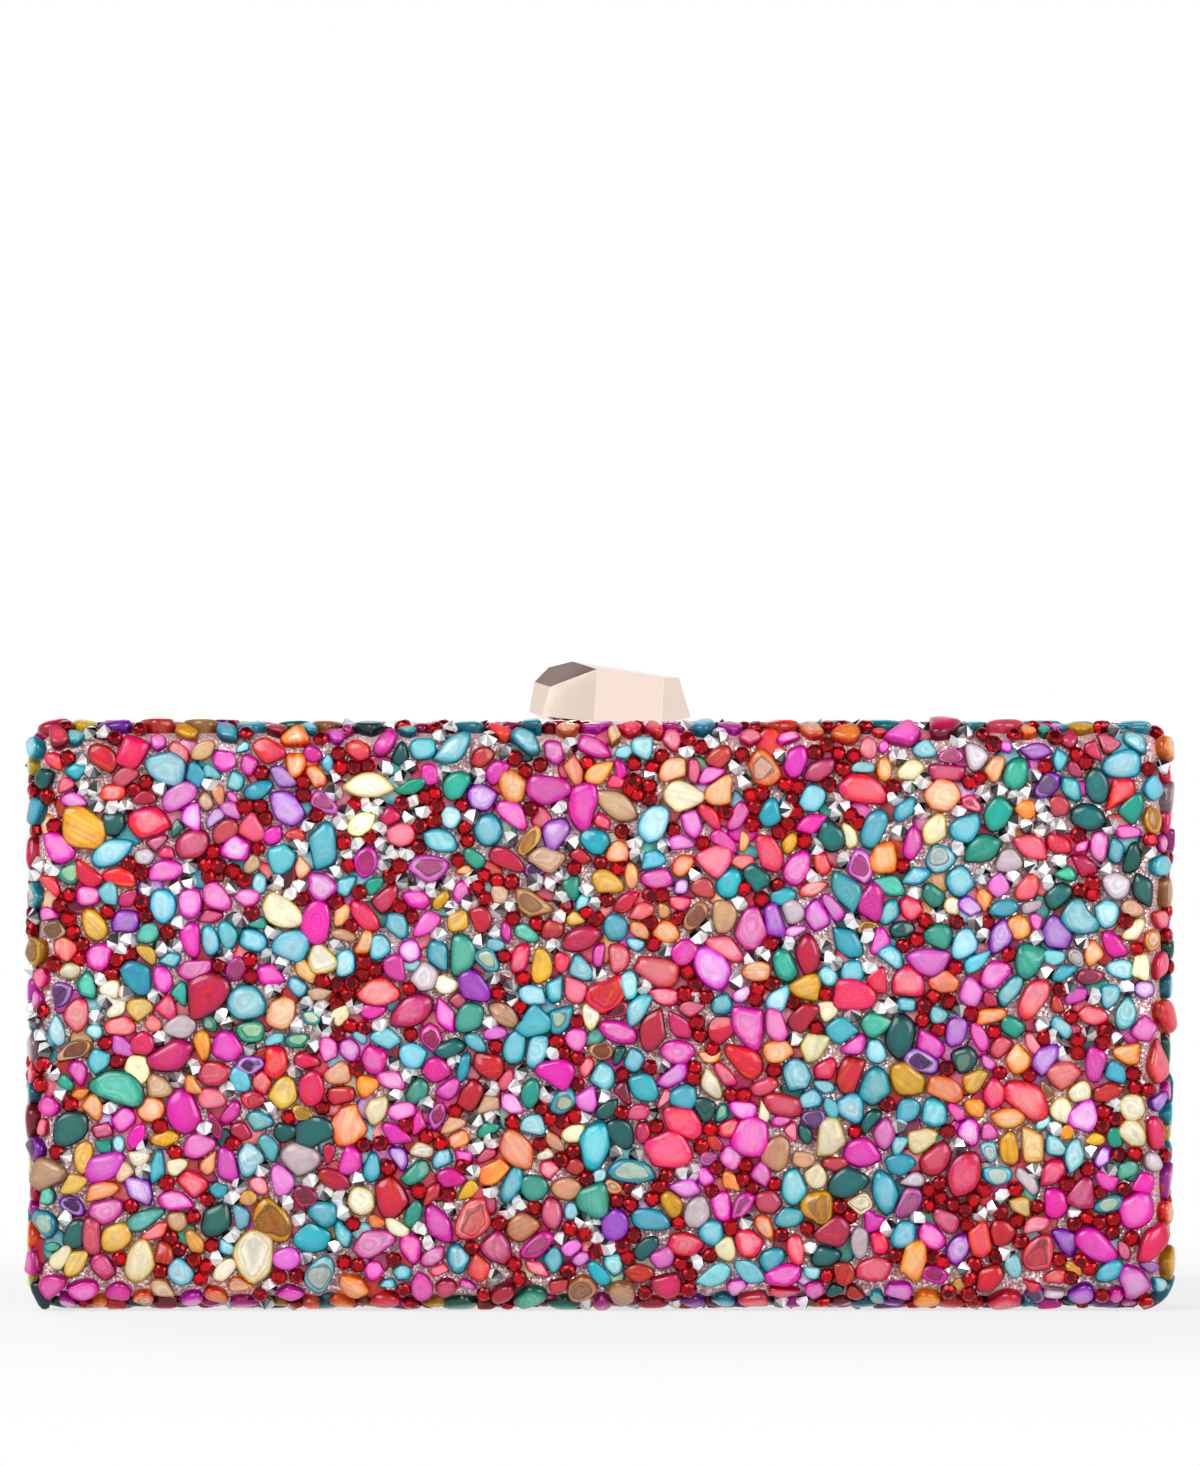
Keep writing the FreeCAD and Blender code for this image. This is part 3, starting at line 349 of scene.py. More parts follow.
# Stones for each square millimetre, and chips for each millimetre along the face's edges.
CHIPS_PER_AREA = 0.039
CLUSTERS_PER_AREA = 0.007
EDGE_CHIPS = 0.4

# Half length of a chip, as a bell curve of its logarithm with limits, and how slim it is.
CHIP_LENGTH = {"mean": 1.2, "sigma": 0.26}
SHORTEST = 1.8
LONGEST = 5.6
SLIMNESS = (0.42, 0.96)
COMMON_LENGTH = 2.6

# Crystals drop in clusters, and most clusters are nearly all red.
CRYSTAL_RADIUS = 1.4
CLUSTER_SIZES = (1, 2, 3, 4, 6, 8)
CLUSTER_CHANCES = (0.2, 0.25, 0.2, 0.15, 0.12, 0.08)
CLUSTER_SPREAD = 1.5
RED_SHARES = (0.1, 0.5, 0.95)
RED_CHANCES = (0.15, 0.2, 0.65)

# Nudging: rounds, rounds from one search for neighbours to the next and its reach, the share
# of their reach at which stones touch, and the share of an overlap that a round clears.
NUDGE_ROUNDS = 180
SEARCH_EVERY = 12
SEARCH_REACH = 11.0
TOUCH = 0.93
NUDGE = 0.42

# Gaps: spots tried, reach of the search, and least room for a crystal and for a low chip. The
# colour of the crystals drifts in broad waves over the case.
GAP_TRIES = 24000
GAP_REACH = 9.0
GAP_ROOM = 0.2
LOW_ROOM = -0.05
LOW_SPACING = 2.9
LOW_LENGTH = (1.7, 2.7)
LOW_SLIMNESS = (0.55, 0.95)
PILED = 1.6
CRYSTAL_SPACING = 1.9
LOW_CLEARANCE = 1.3
GAP_REDS = 0.3
RED_SWING = 0.3
WAVE_ALONG = 14
WAVE_UP = 12


def random_spots(rng, count):
    """Points spread over the sharp box round a cover, as x, depth and height from the middle."""
    depth = FACE_DEPTH - RIM_DEPTH
    areas = np.array([4 * HALF_WIDE * HALF_TALL] + [2 * HALF_WIDE * depth] * 2
                     + [2 * HALF_TALL * depth] * 2)
    wall = rng.choice(5, count, p=areas / areas.sum())
    spots = np.stack([rng.uniform(-HALF_WIDE, HALF_WIDE, count),
                      rng.uniform(RIM_DEPTH + RIM_MARGIN, FACE_DEPTH, count),
                      rng.uniform(-HALF_TALL, HALF_TALL, count)], 1)
    spots[wall == 0, 1] = FACE_DEPTH
    spots[wall == 1, 2] = HALF_TALL
    spots[wall == 2, 2] = -HALF_TALL
    spots[wall == 3, 0] = HALF_WIDE
    spots[wall == 4, 0] = -HALF_WIDE
    return spots


def on_cover(spots):
    """The same points moved onto the rounded cover, and the outward direction there."""
    room = np.stack([HALF_WIDE - abs(spots[:, 0]), FACE_DEPTH - spots[:, 1],
                     HALF_TALL - abs(spots[:, 2])], 1)
    deep = (room > ROUNDING - SKIN).all(1)
    nearest = room.argmin(1)
    for axis, wall in enumerate((HALF_WIDE, FACE_DEPTH, HALF_TALL)):
        sunk = deep & (nearest == axis)
        spots[sunk, axis] = np.copysign(wall, spots[sunk, axis])
    core = np.stack([np.clip(spots[:, 0], ROUNDING - HALF_WIDE, HALF_WIDE - ROUNDING),
                     np.minimum(spots[:, 1], FACE_DEPTH - ROUNDING),
                     np.clip(spots[:, 2], ROUNDING - HALF_TALL, HALF_TALL - ROUNDING)], 1)
    out = spots - core
    out /= np.linalg.norm(out, axis=1, keepdims=True) + TINY
    return core + ROUNDING * out, out


def close_pairs(points, reach):
    """Numbers of the points that are closer than a reach, each pair once."""
    order = np.argsort(points[:, 0])
    sorted_points = points[order]
    firsts, seconds = [], []
    for shift in range(1, len(points)):
        ways = sorted_points[shift:] - sorted_points[:-shift]
        if ways[:, 0].min() > reach:
            break
        near = np.nonzero((ways * ways).sum(1) < reach * reach)[0]
        firsts.append(order[near])
        seconds.append(order[near + shift])
    return np.concatenate(firsts), np.concatenate(seconds)


class Layout:
    """Oval places of the stones on one half: middle, outward and long directions, half axes."""

    def __init__(self, half, seed):
        rng = self.rng = np.random.default_rng(seed)
        self.bare = BARE[half]
        area = (4 * HALF_WIDE * HALF_TALL
                + 4 * (HALF_WIDE + HALF_TALL) * (FACE_DEPTH - RIM_DEPTH))
        chips = int(area * CHIPS_PER_AREA)
        edge = random_spots(rng, int((HALF_WIDE + HALF_TALL) * EDGE_CHIPS))
        edge[:, 1] = FACE_DEPTH
        longways = rng.random(len(edge)) < HALF_WIDE / (HALF_WIDE + HALF_TALL)
        edge[longways, 2] = np.copysign(HALF_TALL, edge[longways, 2])
        edge[~longways, 0] = np.copysign(HALF_WIDE, edge[~longways, 0])
        spots = [random_spots(rng, chips), edge]
        kind = ["chip"] * (chips + len(edge))
        for start in random_spots(rng, int(area * CLUSTERS_PER_AREA)):
            members = int(rng.choice(CLUSTER_SIZES, p=CLUSTER_CHANCES))
            reds = rng.choice(RED_SHARES, p=RED_CHANCES)
            spread = CLUSTER_SPREAD * math.sqrt(members)
            spots.append(start + rng.normal(0, spread, (members, 3)))
            kind += list(rng.choice(("red", "silver"), members, p=(reds, 1 - reds)))
        self.kind = np.array(kind)
        self.count = len(kind)
        self.turn = rng.uniform(0, 2 * math.pi, self.count)
        self.long = np.clip(rng.lognormal(size=self.count, **CHIP_LENGTH), SHORTEST, LONGEST)
        self.short = (self.long * rng.uniform(*SLIMNESS, self.count)
                      * np.sqrt(COMMON_LENGTH / self.long))
        crystals = self.kind != "chip"
        self.long[crystals] = self.short[crystals] = CRYSTAL_RADIUS
        self.settle(np.vstack(spots))
        self.fill_gaps()

    def settle(self, spots):
        """Nudges overlapping stones apart; the way round an edge counts up to 1.41 times."""
        self.seat(spots)
        weight = self.long * self.short
        for step in range(NUDGE_ROUNDS):
            if step % SEARCH_EVERY == 0:
                a, b = close_pairs(self.at, SEARCH_REACH)
            ways = self.at[b] - self.at[a]
            bend = 1.41 - 0.41 * (self.out[a] * self.out[b]).sum(1)
            apart = np.linalg.norm(ways, axis=1) * bend + 1e-6
            over = TOUCH * (self.reach(a, ways) + self.reach(b, ways)) - apart
            push = ways * (NUDGE * np.maximum(over, 0) / apart)[:, None]
            moves = np.zeros_like(self.at)
            share = (weight[b] / (weight[a] + weight[b]))[:, None]
            np.add.at(moves, a, -push * share)
            np.add.at(moves, b, push * (1 - share))
            self.seat(self.at + moves)

    def fill_gaps(self):
        """Clears piled-up crystals, then fills wide gaps with crystals, narrow ones with chips."""
        rng = self.rng
        kept = np.ones(self.count, bool)
        a, b = close_pairs(self.at, PILED * CRYSTAL_RADIUS)
        for i, j in zip(a.tolist(), b.tolist()):
            if self.kind[i] != "chip" and self.kind[j] != "chip" and kept[i]:
                kept[j] = False
        left, right, depth = self.bare
        spots = on_cover(random_spots(rng, GAP_TRIES))[0]
        x, y, z = spots.T
        room = np.full(len(spots), GAP_REACH)
        room[(x > left - CRYSTAL_RADIUS) & (x < right + CRYSTAL_RADIUS)
             & (y < depth + CRYSTAL_RADIUS) & (z > HALF_TALL - ROUNDING)] = 0
        room[y < RIM_DEPTH + RIM_HOLD * CRYSTAL_RADIUS] = 0
        for n in np.nonzero(kept)[0]:
            ways = spots - self.at[n]
            near = np.nonzero((ways * ways).sum(1) < GAP_REACH ** 2)[0]
            ways = ways[near]
            free = np.linalg.norm(ways, axis=1) - self.reach(np.full(len(near), n), ways)
            room[near] = np.minimum(room[near], free)
        added, low = np.empty((0, 3)), np.empty((0, 3))
        widest_first = np.argsort(-room)
        for n in widest_first[room[widest_first] >= GAP_ROOM]:
            to_added = np.linalg.norm(added - spots[n], axis=1)
            if (to_added > CRYSTAL_SPACING * CRYSTAL_RADIUS).all():
                added = np.vstack([added, spots[n]])
        for n in widest_first[room[widest_first] >= LOW_ROOM]:
            to_added = np.linalg.norm(added - spots[n], axis=1)
            to_low = np.linalg.norm(low - spots[n], axis=1)
            if (to_added > LOW_CLEARANCE * CRYSTAL_RADIUS).all() and (to_low > LOW_SPACING).all():
                low = np.vstack([low, spots[n]])
        new = len(added)
        phase = rng.uniform(0, 6, 2)
        reds = GAP_REDS + (RED_SWING * np.sin(added[:, 0] / WAVE_ALONG + phase[0])
                           * np.sin(added[:, 2] / WAVE_UP + phase[1]))
        colours = np.where(rng.random(new) < reds, "red", "silver")
        low_long = rng.uniform(*LOW_LENGTH, len(low))
        low_short = low_long * rng.uniform(*LOW_SLIMNESS, len(low))
        turns = rng.uniform(0, 2 * math.pi, new + len(low))
        radii = np.full(new, CRYSTAL_RADIUS)
        self.kind = np.concatenate([self.kind[kept], colours, ["low"] * len(low)])
        self.turn = np.concatenate([self.turn[kept], turns])
        self.long = np.concatenate([self.long[kept], radii, low_long])
        self.short = np.concatenate([self.short[kept], radii, low_short])
        self.count = len(self.kind)
        self.seat(np.vstack([self.at[kept], added, low]))

    def seat(self, spots):
        """Puts the stones on the cover, inside the rim and outside the bare strip."""
        left, right, depth = self.bare
        half = np.sqrt(self.long * self.short)
        spots[:, 1] = np.maximum(spots[:, 1], RIM_DEPTH + RIM_HOLD * half)
        exits = np.stack([spots[:, 0] - left + half, right + half - spots[:, 0],
                          depth + BARE_HOLD * half - spots[:, 1]], 1)
        inside = (exits > 0).all(1) & (spots[:, 2] > HALF_TALL - ROUNDING)
        way = exits.argmin(1)
        spots[inside & (way == 0), 0] -= exits[inside & (way == 0), 0]
        spots[inside & (way == 1), 0] += exits[inside & (way == 1), 1]
        spots[inside & (way == 2), 1] += exits[inside & (way == 2), 2]
        self.at, self.out = on_cover(spots)
        start = np.where(abs(self.out[:, :1]) < 0.8, [[1.0, 0, 0]], [[0, 0, 1.0]])
        first = start - self.out * (start * self.out).sum(1)[:, None]
        first /= np.linalg.norm(first, axis=1, keepdims=True)
        second = np.cross(self.out, first)
        self.along = first * np.cos(self.turn)[:, None] + second * np.sin(self.turn)[:, None]
        self.across = np.cross(self.out, self.along)

    def reach(self, which, ways):
        """How far each oval reaches along a way, in its own plane."""
        u = (ways * self.along[which]).sum(1)
        v = (ways * self.across[which]).sum(1)
        span = np.hypot(u, v) + TINY
        return span / (np.hypot(u / self.long[which], v / self.short[which]) + TINY)


def clipped(outline, direction, limit):
    """Outline cut off where it passes a straight line."""
    heights = outline @ direction - limit
    if (heights <= 0).all():
        return outline
    kept = []
    for n in range(len(outline)):
        a, b = heights[n - 1], heights[n]
        if (a <= 0) != (b <= 0):
            share = a / (a - b)
            kept.append(outline[n - 1] + share * (outline[n] - outline[n - 1]))
        if b <= 0:
            kept.append(outline[n])
    return np.array(kept).reshape(-1, 2)


def rounded(outline, count):
    """Outline with its corners worn off, redrawn with evenly spaced points."""
    for _ in range(2):
        after = np.roll(outline, -1, axis=0)
        outline = np.stack([0.75 * outline + 0.25 * after, 0.25 * outline + 0.75 * after], 1)
        outline = outline.reshape(-1, 2)
    closed = np.vstack([outline, outline[:1]])
    steps = np.concatenate([[0], np.cumsum(np.linalg.norm(np.diff(closed, axis=0), axis=1))])
    marks = np.linspace(0, steps[-1], count, endpoint=False)
    return np.stack([np.interp(marks, steps, closed[:, axis]) for axis in (0, 1)], 1)


# Tumbled outlines: powers of the oval from pointed to square, and how much it is skewed, pulled
# to a triangle, bent like a bean, broken off, and overgrown.
OUTLINE_POINTS = 30
OVAL_POWERS = (1.8, 2.1, 2.4, 3.2)
OVAL_CHANCES = (0.2, 0.4, 0.25, 0.15)
SKEW = 0.28
THREE_SIDED = 0.2
BEAN = 0.22
BREAK_CHANCES = (0.6, 0.28, 0.12)
BREAK_AT = (0.5, 0.75)
OVERGROWN = (1.08, 1.24)


def tumbled_outline(rng, half_long, half_short):
    """Egg, drop, bean, triangle or slab outline of a loose chip."""
    angles = np.linspace(0, 2 * math.pi, OUTLINE_POINTS, endpoint=False)
    power = rng.choice(OVAL_POWERS, p=OVAL_CHANCES)
    radius = (abs(np.cos(angles)) ** power + abs(np.sin(angles)) ** power) ** (-1 / power)
    radius *= 1 + rng.uniform(-SKEW, SKEW) * np.cos(angles)
    radius *= 1 + rng.uniform(0, THREE_SIDED) * np.cos(3 * angles + rng.uniform(0, 6))
    u, v = radius * np.cos(angles), radius * np.sin(angles)
    v = v + rng.normal(0, BEAN) * (u * u - 0.4)
    outline = np.stack([u, v], 1)
    for _ in range(rng.choice((0, 1, 2), p=BREAK_CHANCES)):
        turn = rng.uniform(0, 2 * math.pi)
        way = np.array([math.cos(turn), math.sin(turn)])
        outline = clipped(outline, way, rng.uniform(*BREAK_AT))
    return outline * (half_long, half_short) * rng.uniform(*OVERGROWN)


# Room in millimetres that a chip leaves to another chip, to a crystal, to a chip that it lies
# over, and to the rim; and the smallest chip worth setting, in square millimetres.
CHIP_ROOM = (0.0, 0.16)
CRYSTAL_ROOM = (-0.3, 0.1)
LAP_ROOM = -0.9
RIM_ROOM = 0.05
BARE_REACH = 8
LEAST_SPAN = 0.5
LEAST_CORNERS = 15
LEAST_AREA = 3.5


def chip_outline(layout, n, neighbours):
    """Outline of one chip, kept on its own side of its neighbours."""
    rng = layout.rng
    outline = tumbled_outline(rng, layout.long[n], layout.short[n])
    others = np.array([] if layout.kind[n] == "low" else
                      [j for j in neighbours if layout.kind[j] != "low"], int)
    ways = layout.at[others] - layout.at[n]
    own = layout.reach(np.full(len(others), n), ways)
    other = layout.reach(others, ways)
    for j, way, mine, theirs in zip(others, ways, own, other):
        flat = np.array([way @ layout.along[n], way @ layout.across[n]])
        span = np.linalg.norm(flat)
        spare = rng.uniform(*CHIP_ROOM)
        if layout.kind[j] != "chip":
            spare = rng.uniform(*CRYSTAL_ROOM)
        elif layout.over[n] and not layout.over[j]:
            spare = LAP_ROOM
        if span > LEAST_SPAN:
            outline = clipped(outline, flat / span, span * mine / (mine + theirs) - spare)
            if len(outline) < 3:
                return None
    left, right, depth = layout.bare
    at = layout.at[n]
    edges = [(np.array([0, -1.0, 0]), -RIM_DEPTH - RIM_ROOM)]
    near_bare = at[1] < depth + BARE_REACH and left - BARE_REACH < at[0] < right + BARE_REACH
    if layout.out[n][2] > 0.5 and near_bare:
        if at[0] < left:
            edges.append((np.array([1.0, 0, 0]), left))
        elif at[0] > right:
            edges.append((np.array([-1.0, 0, 0]), -right))
        else:
            edges.append((np.array([0, -1.0, 0]), -depth))
    for direction, limit in edges:
        flat = np.array([direction @ layout.along[n], direction @ layout.across[n]])
        span = np.linalg.norm(flat)
        if span > 0.2:
            outline = clipped(outline, flat / span, (limit - direction @ at) / span)
            if len(outline) < 3:
                return None
    size = 2 * math.sqrt(layout.long[n] * layout.short[n])
    outline = rounded(outline, int(LEAST_CORNERS + size))
    area = 0.5 * abs(np.sum(outline[:, 0] * np.roll(outline[:, 1], -1)
                            - outline[:, 1] * np.roll(outline[:, 0], -1)))
    return outline if area > LEAST_AREA else None


def neighbours_of(layout, reach):
    """For each stone the numbers of those near it."""
    a, b = close_pairs(layout.at, reach)
    near = [[] for _ in range(layout.count)]
    for i, j in zip(a.tolist(), b.tolist()):
        near[i].append(j)
        near[j].append(i)
    return near


# Shell chips
# Tumbled mother-of-pearl, dyed and polished. Its colour is darkest at the worn edge and palest
# at the heart. Part of that is the dye fading to pearl, part is painted shade on the chip's sides
# and foot, and part is a painted sheen on its top. Each chip is glued flat on the mesh cover.

# Parts of a chip's profile: how much of the outline, and how much of the height.
PROFILES = {
    "domed": ((0.86, -0.06), (1.0, 0.4), (0.955, 0.66), (0.82, 0.86), (0.52, 0.975)),
    "table": ((0.88, -0.06), (1.0, 0.46), (0.965, 0.76), (0.87, 0.94), (0.6, 1.0)),
}
# Rim marks of the rings, 1 at the foot and girth down to 0 at the top. They place the dark rim
# colour, which is partly painted shade, and the pale heart, which is partly a painted sheen.
RIM_MARKS = (1.0, 1.0, 0.9, 0.56, 0.2)
DOMED = 0.6

# Heights in millimetres: the tallest chip, the least height and its growth with the width, the
# extra of a chip that lies over its neighbours, and the low chips in the gaps.
TALLEST = 2.5
LEAST_HEIGHT = 1.1
GROWTH = 0.17
GROWTH_SPREAD = (0.7, 1.25)
LAP_HEIGHT = 0.4
LOW_HEIGHT = (0.45, 0.8)

# Some chips have a slanting ground face: its share, place and slope. All tops tilt a little.
GROUND_SHARE = 0.3
GROUND_AT = (0.05, 0.5)
GROUND_SLOPE = (0.3, 0.6)
UNGROUND = 99
TOP_TILT = 0.06
LEAST_RISE = 0.3
PATTERN_STEP = 50


class StoneMesh:
    """Vertices, faces and marks of the stones that share one finish."""

    def __init__(self):
        self.points, self.faces = [], []
        self.rim, self.stone, self.local, self.painted_facet_light = [], [], [], []

    def build(self, name, body, material, smooth):
        """Makes the piece and fixes it to its body."""
        mesh = bpy.data.meshes.new(name)
        turned = np.array([1, 1 if body == "back_half" else -1, 1])
        mesh.from_pydata((np.array(self.points) * turned + (0, 0, MIDDLE)) * MM, [], self.faces)
        # Chip marks: rim to heart, which also places painted shade and a painted sheen; the chip's
        # number; and its own directions.
        if self.rim:
            for label, values in (("rim", self.rim), ("stone", self.stone)):
                marks = mesh.attributes.new(label, "FLOAT", "POINT")
                marks.data.foreach_set("value", np.array(values, np.float32))
            marks = mesh.attributes.new("local", "FLOAT_VECTOR", "POINT")
            marks.data.foreach_set("vector", np.array(self.local, np.float32).ravel())
        # Painted reflection tone of each crystal facet.
        if self.painted_facet_light:
            marks = mesh.attributes.new("painted_facet_light", "FLOAT", "FACE")
            marks.data.foreach_set("value", np.array(self.painted_facet_light, np.float32))
        if smooth:
            mesh.shade_smooth()
        else:
            mesh.shade_flat()
        mesh.materials.append(material)
        mesh.validate()
        piece = bpy.data.objects.new(name, mesh)
        bpy.context.scene.collection.objects.link(piece)
        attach(piece, body)
        return piece


def add_chip(mesh, layout, n, outline, sign):
    """One chip: rings from its glued foot over the girth to the top."""
    rng = layout.rng
    count = len(outline)
    middle = outline.mean(0)
    size = 2 * math.sqrt(layout.long[n] * layout.short[n])
    height = min(TALLEST, LEAST_HEIGHT + GROWTH * size * rng.uniform(*GROWTH_SPREAD)
                 + LAP_HEIGHT * layout.over[n])
    if layout.kind[n] == "low":
        height = rng.uniform(*LOW_HEIGHT)
    profile = PROFILES["domed" if rng.random() < DOMED else "table"]
    lean = rng.normal(0, TOP_TILT, 2)
    cut_turn = rng.uniform(0, 6)
    cut_way = np.array([math.cos(cut_turn), math.sin(cut_turn)])
    cut_at = UNGROUND
    if rng.random() < GROUND_SHARE:
        cut_at = rng.uniform(*GROUND_AT) * size / 2
    cut_slope = rng.uniform(*GROUND_SLOPE)
    number = rng.random()
    along, across, out, at = (v[n] for v in (layout.along, layout.across, layout.out, layout.at))
    start = len(mesh.points)
    for (share, up), mark in zip(profile, RIM_MARKS):
        flat = middle + share * (outline - middle)
        off = flat - middle
        rise = np.full(count, height * up)
        points = at + flat[:, :1] * along + flat[:, 1:] * across
        if up < 0:
            points, normals = on_cover(points)
            points += normals * rise[:, None]
        else:
            rise += up * (off @ lean)
            rise = np.minimum(rise, height - cut_slope * (off @ cut_way - cut_at))
            points += out * np.clip(rise, LEAST_RISE * height, TALLEST)[:, None]
        mesh.points += list(points)
        mesh.rim += [mark] * count
        mesh.stone += [number] * count
        mesh.local += [(x, y, number * PATTERN_STEP) for x, y in off]
    mesh.points.append(at + middle[0] * along + middle[1] * across
                       + out * min(height, height + cut_slope * cut_at))
    mesh.rim.append(0)
    mesh.stone.append(number)
    mesh.local.append((0, 0, number * PATTERN_STEP))
    last = start + count * len(profile)
    for level in range(len(profile)):
        for k in range(count):
            a = start + level * count + k
            b = start + level * count + (k + 1) % count
            face = (a, b, last)
            if level < len(profile) - 1:
                face = (a, b, b + count, a + count)
            mesh.faces.append(face if sign > 0 else face[::-1])


# Dyed shell: dark worn rim, body, and a pale heart that differs from chip to chip. The dark rim
# is partly dye and partly painted shade on the chip's sides and foot. The pale heart is partly
# pearl and partly a painted sheen on its top. Some chips show growth streaks, and some a core
# with a dark outline.
shell_dye_and_painted_light, given, dye_and_light_out = new_group(
    "dyed shell",
    [("Rim", "NodeSocketColor", (0.5, 0, 0.2, 1)), ("Body", "NodeSocketColor", (0.8, 0.1, 0.4, 1)),
     ("Heart", "NodeSocketColor", (0.9, 0.6, 0.7, 1)),
     ("Core", "NodeSocketColor", (0.3, 0.2, 0.1, 1)), ("Cored", "NodeSocketFloat", 0.1)],
    [("Color", "NodeSocketColor"), ("Roughness", "NodeSocketFloat"),
     ("Height", "NodeSocketFloat")])
tree = shell_dye_and_painted_light
rim = add_node(tree, "Attribute", attribute_name="rim").outputs["Fac"]
stone = add_node(tree, "Attribute", attribute_name="stone").outputs["Fac"]
local = add_node(tree, "Attribute", attribute_name="local").outputs["Vector"]

# Chances that differ from chip to chip, and patterns in the chip's own directions.
chance = add_node(tree, "TexWhiteNoise", {"W": stone}, noise_dimensions="1D").outputs["Color"]
tint = add_node(tree, "SeparateColor", {"Color": chance}).outputs
chance = add_node(tree, "TexWhiteNoise", {"Vector": chance}, noise_dimensions="2D").outputs["Color"]
habit = add_node(tree, "SeparateColor", {"Color": chance}).outputs
cloud = noise(tree, local, Scale=0.4, Detail=5.0, Roughness=0.6, Distortion=0.7)
drawn = add_node(tree, "Mapping", {"Vector": local, "Scale": (0.16, 1.3, 1.0)}).outputs["Vector"]
streak = noise(tree, drawn, Scale=1.0, Detail=3.0, Distortion=0.4)
blob = noise(tree, local, Scale=0.3, Detail=0.0)

# Heart, core and rim. The pale heart is partly a painted sheen, and the dark rim is partly painted
# shade.
depth = calc(tree, "ADD", rim, ramp(tree, cloud, 0.25, 0.75, -0.28, 0.28))
to_body = ramp(tree, depth, 0.0, 0.7, 1.0, 0.0, "SMOOTHSTEP")
# Share of the pale heart, which is partly a painted sheen.
pearl_and_sheen_share = ramp(tree, habit["Red"], 0.1, 0.78, 0.17)
inner = mix(tree, calc(tree, "MULTIPLY", to_body, pearl_and_sheen_share), given["Body"], given["Heart"])
core_depth = calc(tree, "ADD", rim, calc(tree, "MULTIPLY", blob, 0.9))
picked = calc(tree, "LESS_THAN", habit["Green"], given["Cored"])
core_mask = calc(tree, "MULTIPLY", ramp(tree, core_depth, 0.72, 0.78, 1.0, 0.0), picked)
cored = mix(tree, core_mask, inner, given["Core"])
# Rim colour over the chip's sides and foot: partly dye, partly painted shade.
dyed_and_shaded = mix(tree, ramp(tree, rim, 0.46, 0.93, kind="SMOOTHSTEP"), cored, given["Rim"])

# Lightness: streaks, the outline of a core, the chip's own tone, growth rings and clouds.
line = calc(tree, "MULTIPLY", calc(tree, "COMPARE", core_depth, 0.75, 0.07), picked)
streaked = calc(tree, "MULTIPLY_ADD", calc(tree, "SUBTRACT", streak, 0.5),
                ramp(tree, habit["Blue"], 0.35, 1.0, 0.1, 0.95), 1.0)
level = calc(tree, "MULTIPLY", streaked, ramp(tree, line, to_low=1.0, to_high=0.42))
level = calc(tree, "MULTIPLY", ramp(tree, tint["Red"], to_low=0.78, to_high=1.18), level)
ring = calc(tree, "SINE", calc(tree, "MULTIPLY", core_depth, 24.0))
ringed = ramp(tree, habit["Red"], 0.55, 0.7, 0.0, 0.12)
level = calc(tree, "MULTIPLY", level, calc(tree, "MULTIPLY_ADD", ring, ringed, 1.0))
level = calc(tree, "MULTIPLY", level, ramp(tree, cloud, 0.3, 0.7, 0.82, 1.18))
hue = calc(tree, "ADD", ramp(tree, tint["Green"], to_low=0.484, to_high=0.516),
           ramp(tree, streak, 0.3, 0.7, -0.018, 0.018))
strength = ramp(tree, tint["Blue"], to_low=0.95, to_high=1.26)
shift = add_node(tree, "HueSaturation", {"Color": dyed_and_shaded, "Hue": hue, "Saturation": strength,
                                         "Value": level})
set_sockets(tree, dye_and_light_out, {"Color": shift.outputs["Color"], "Height": streak,
                            "Roughness": ramp(tree, cloud, 0.3, 0.7, 0.14, 0.3)})

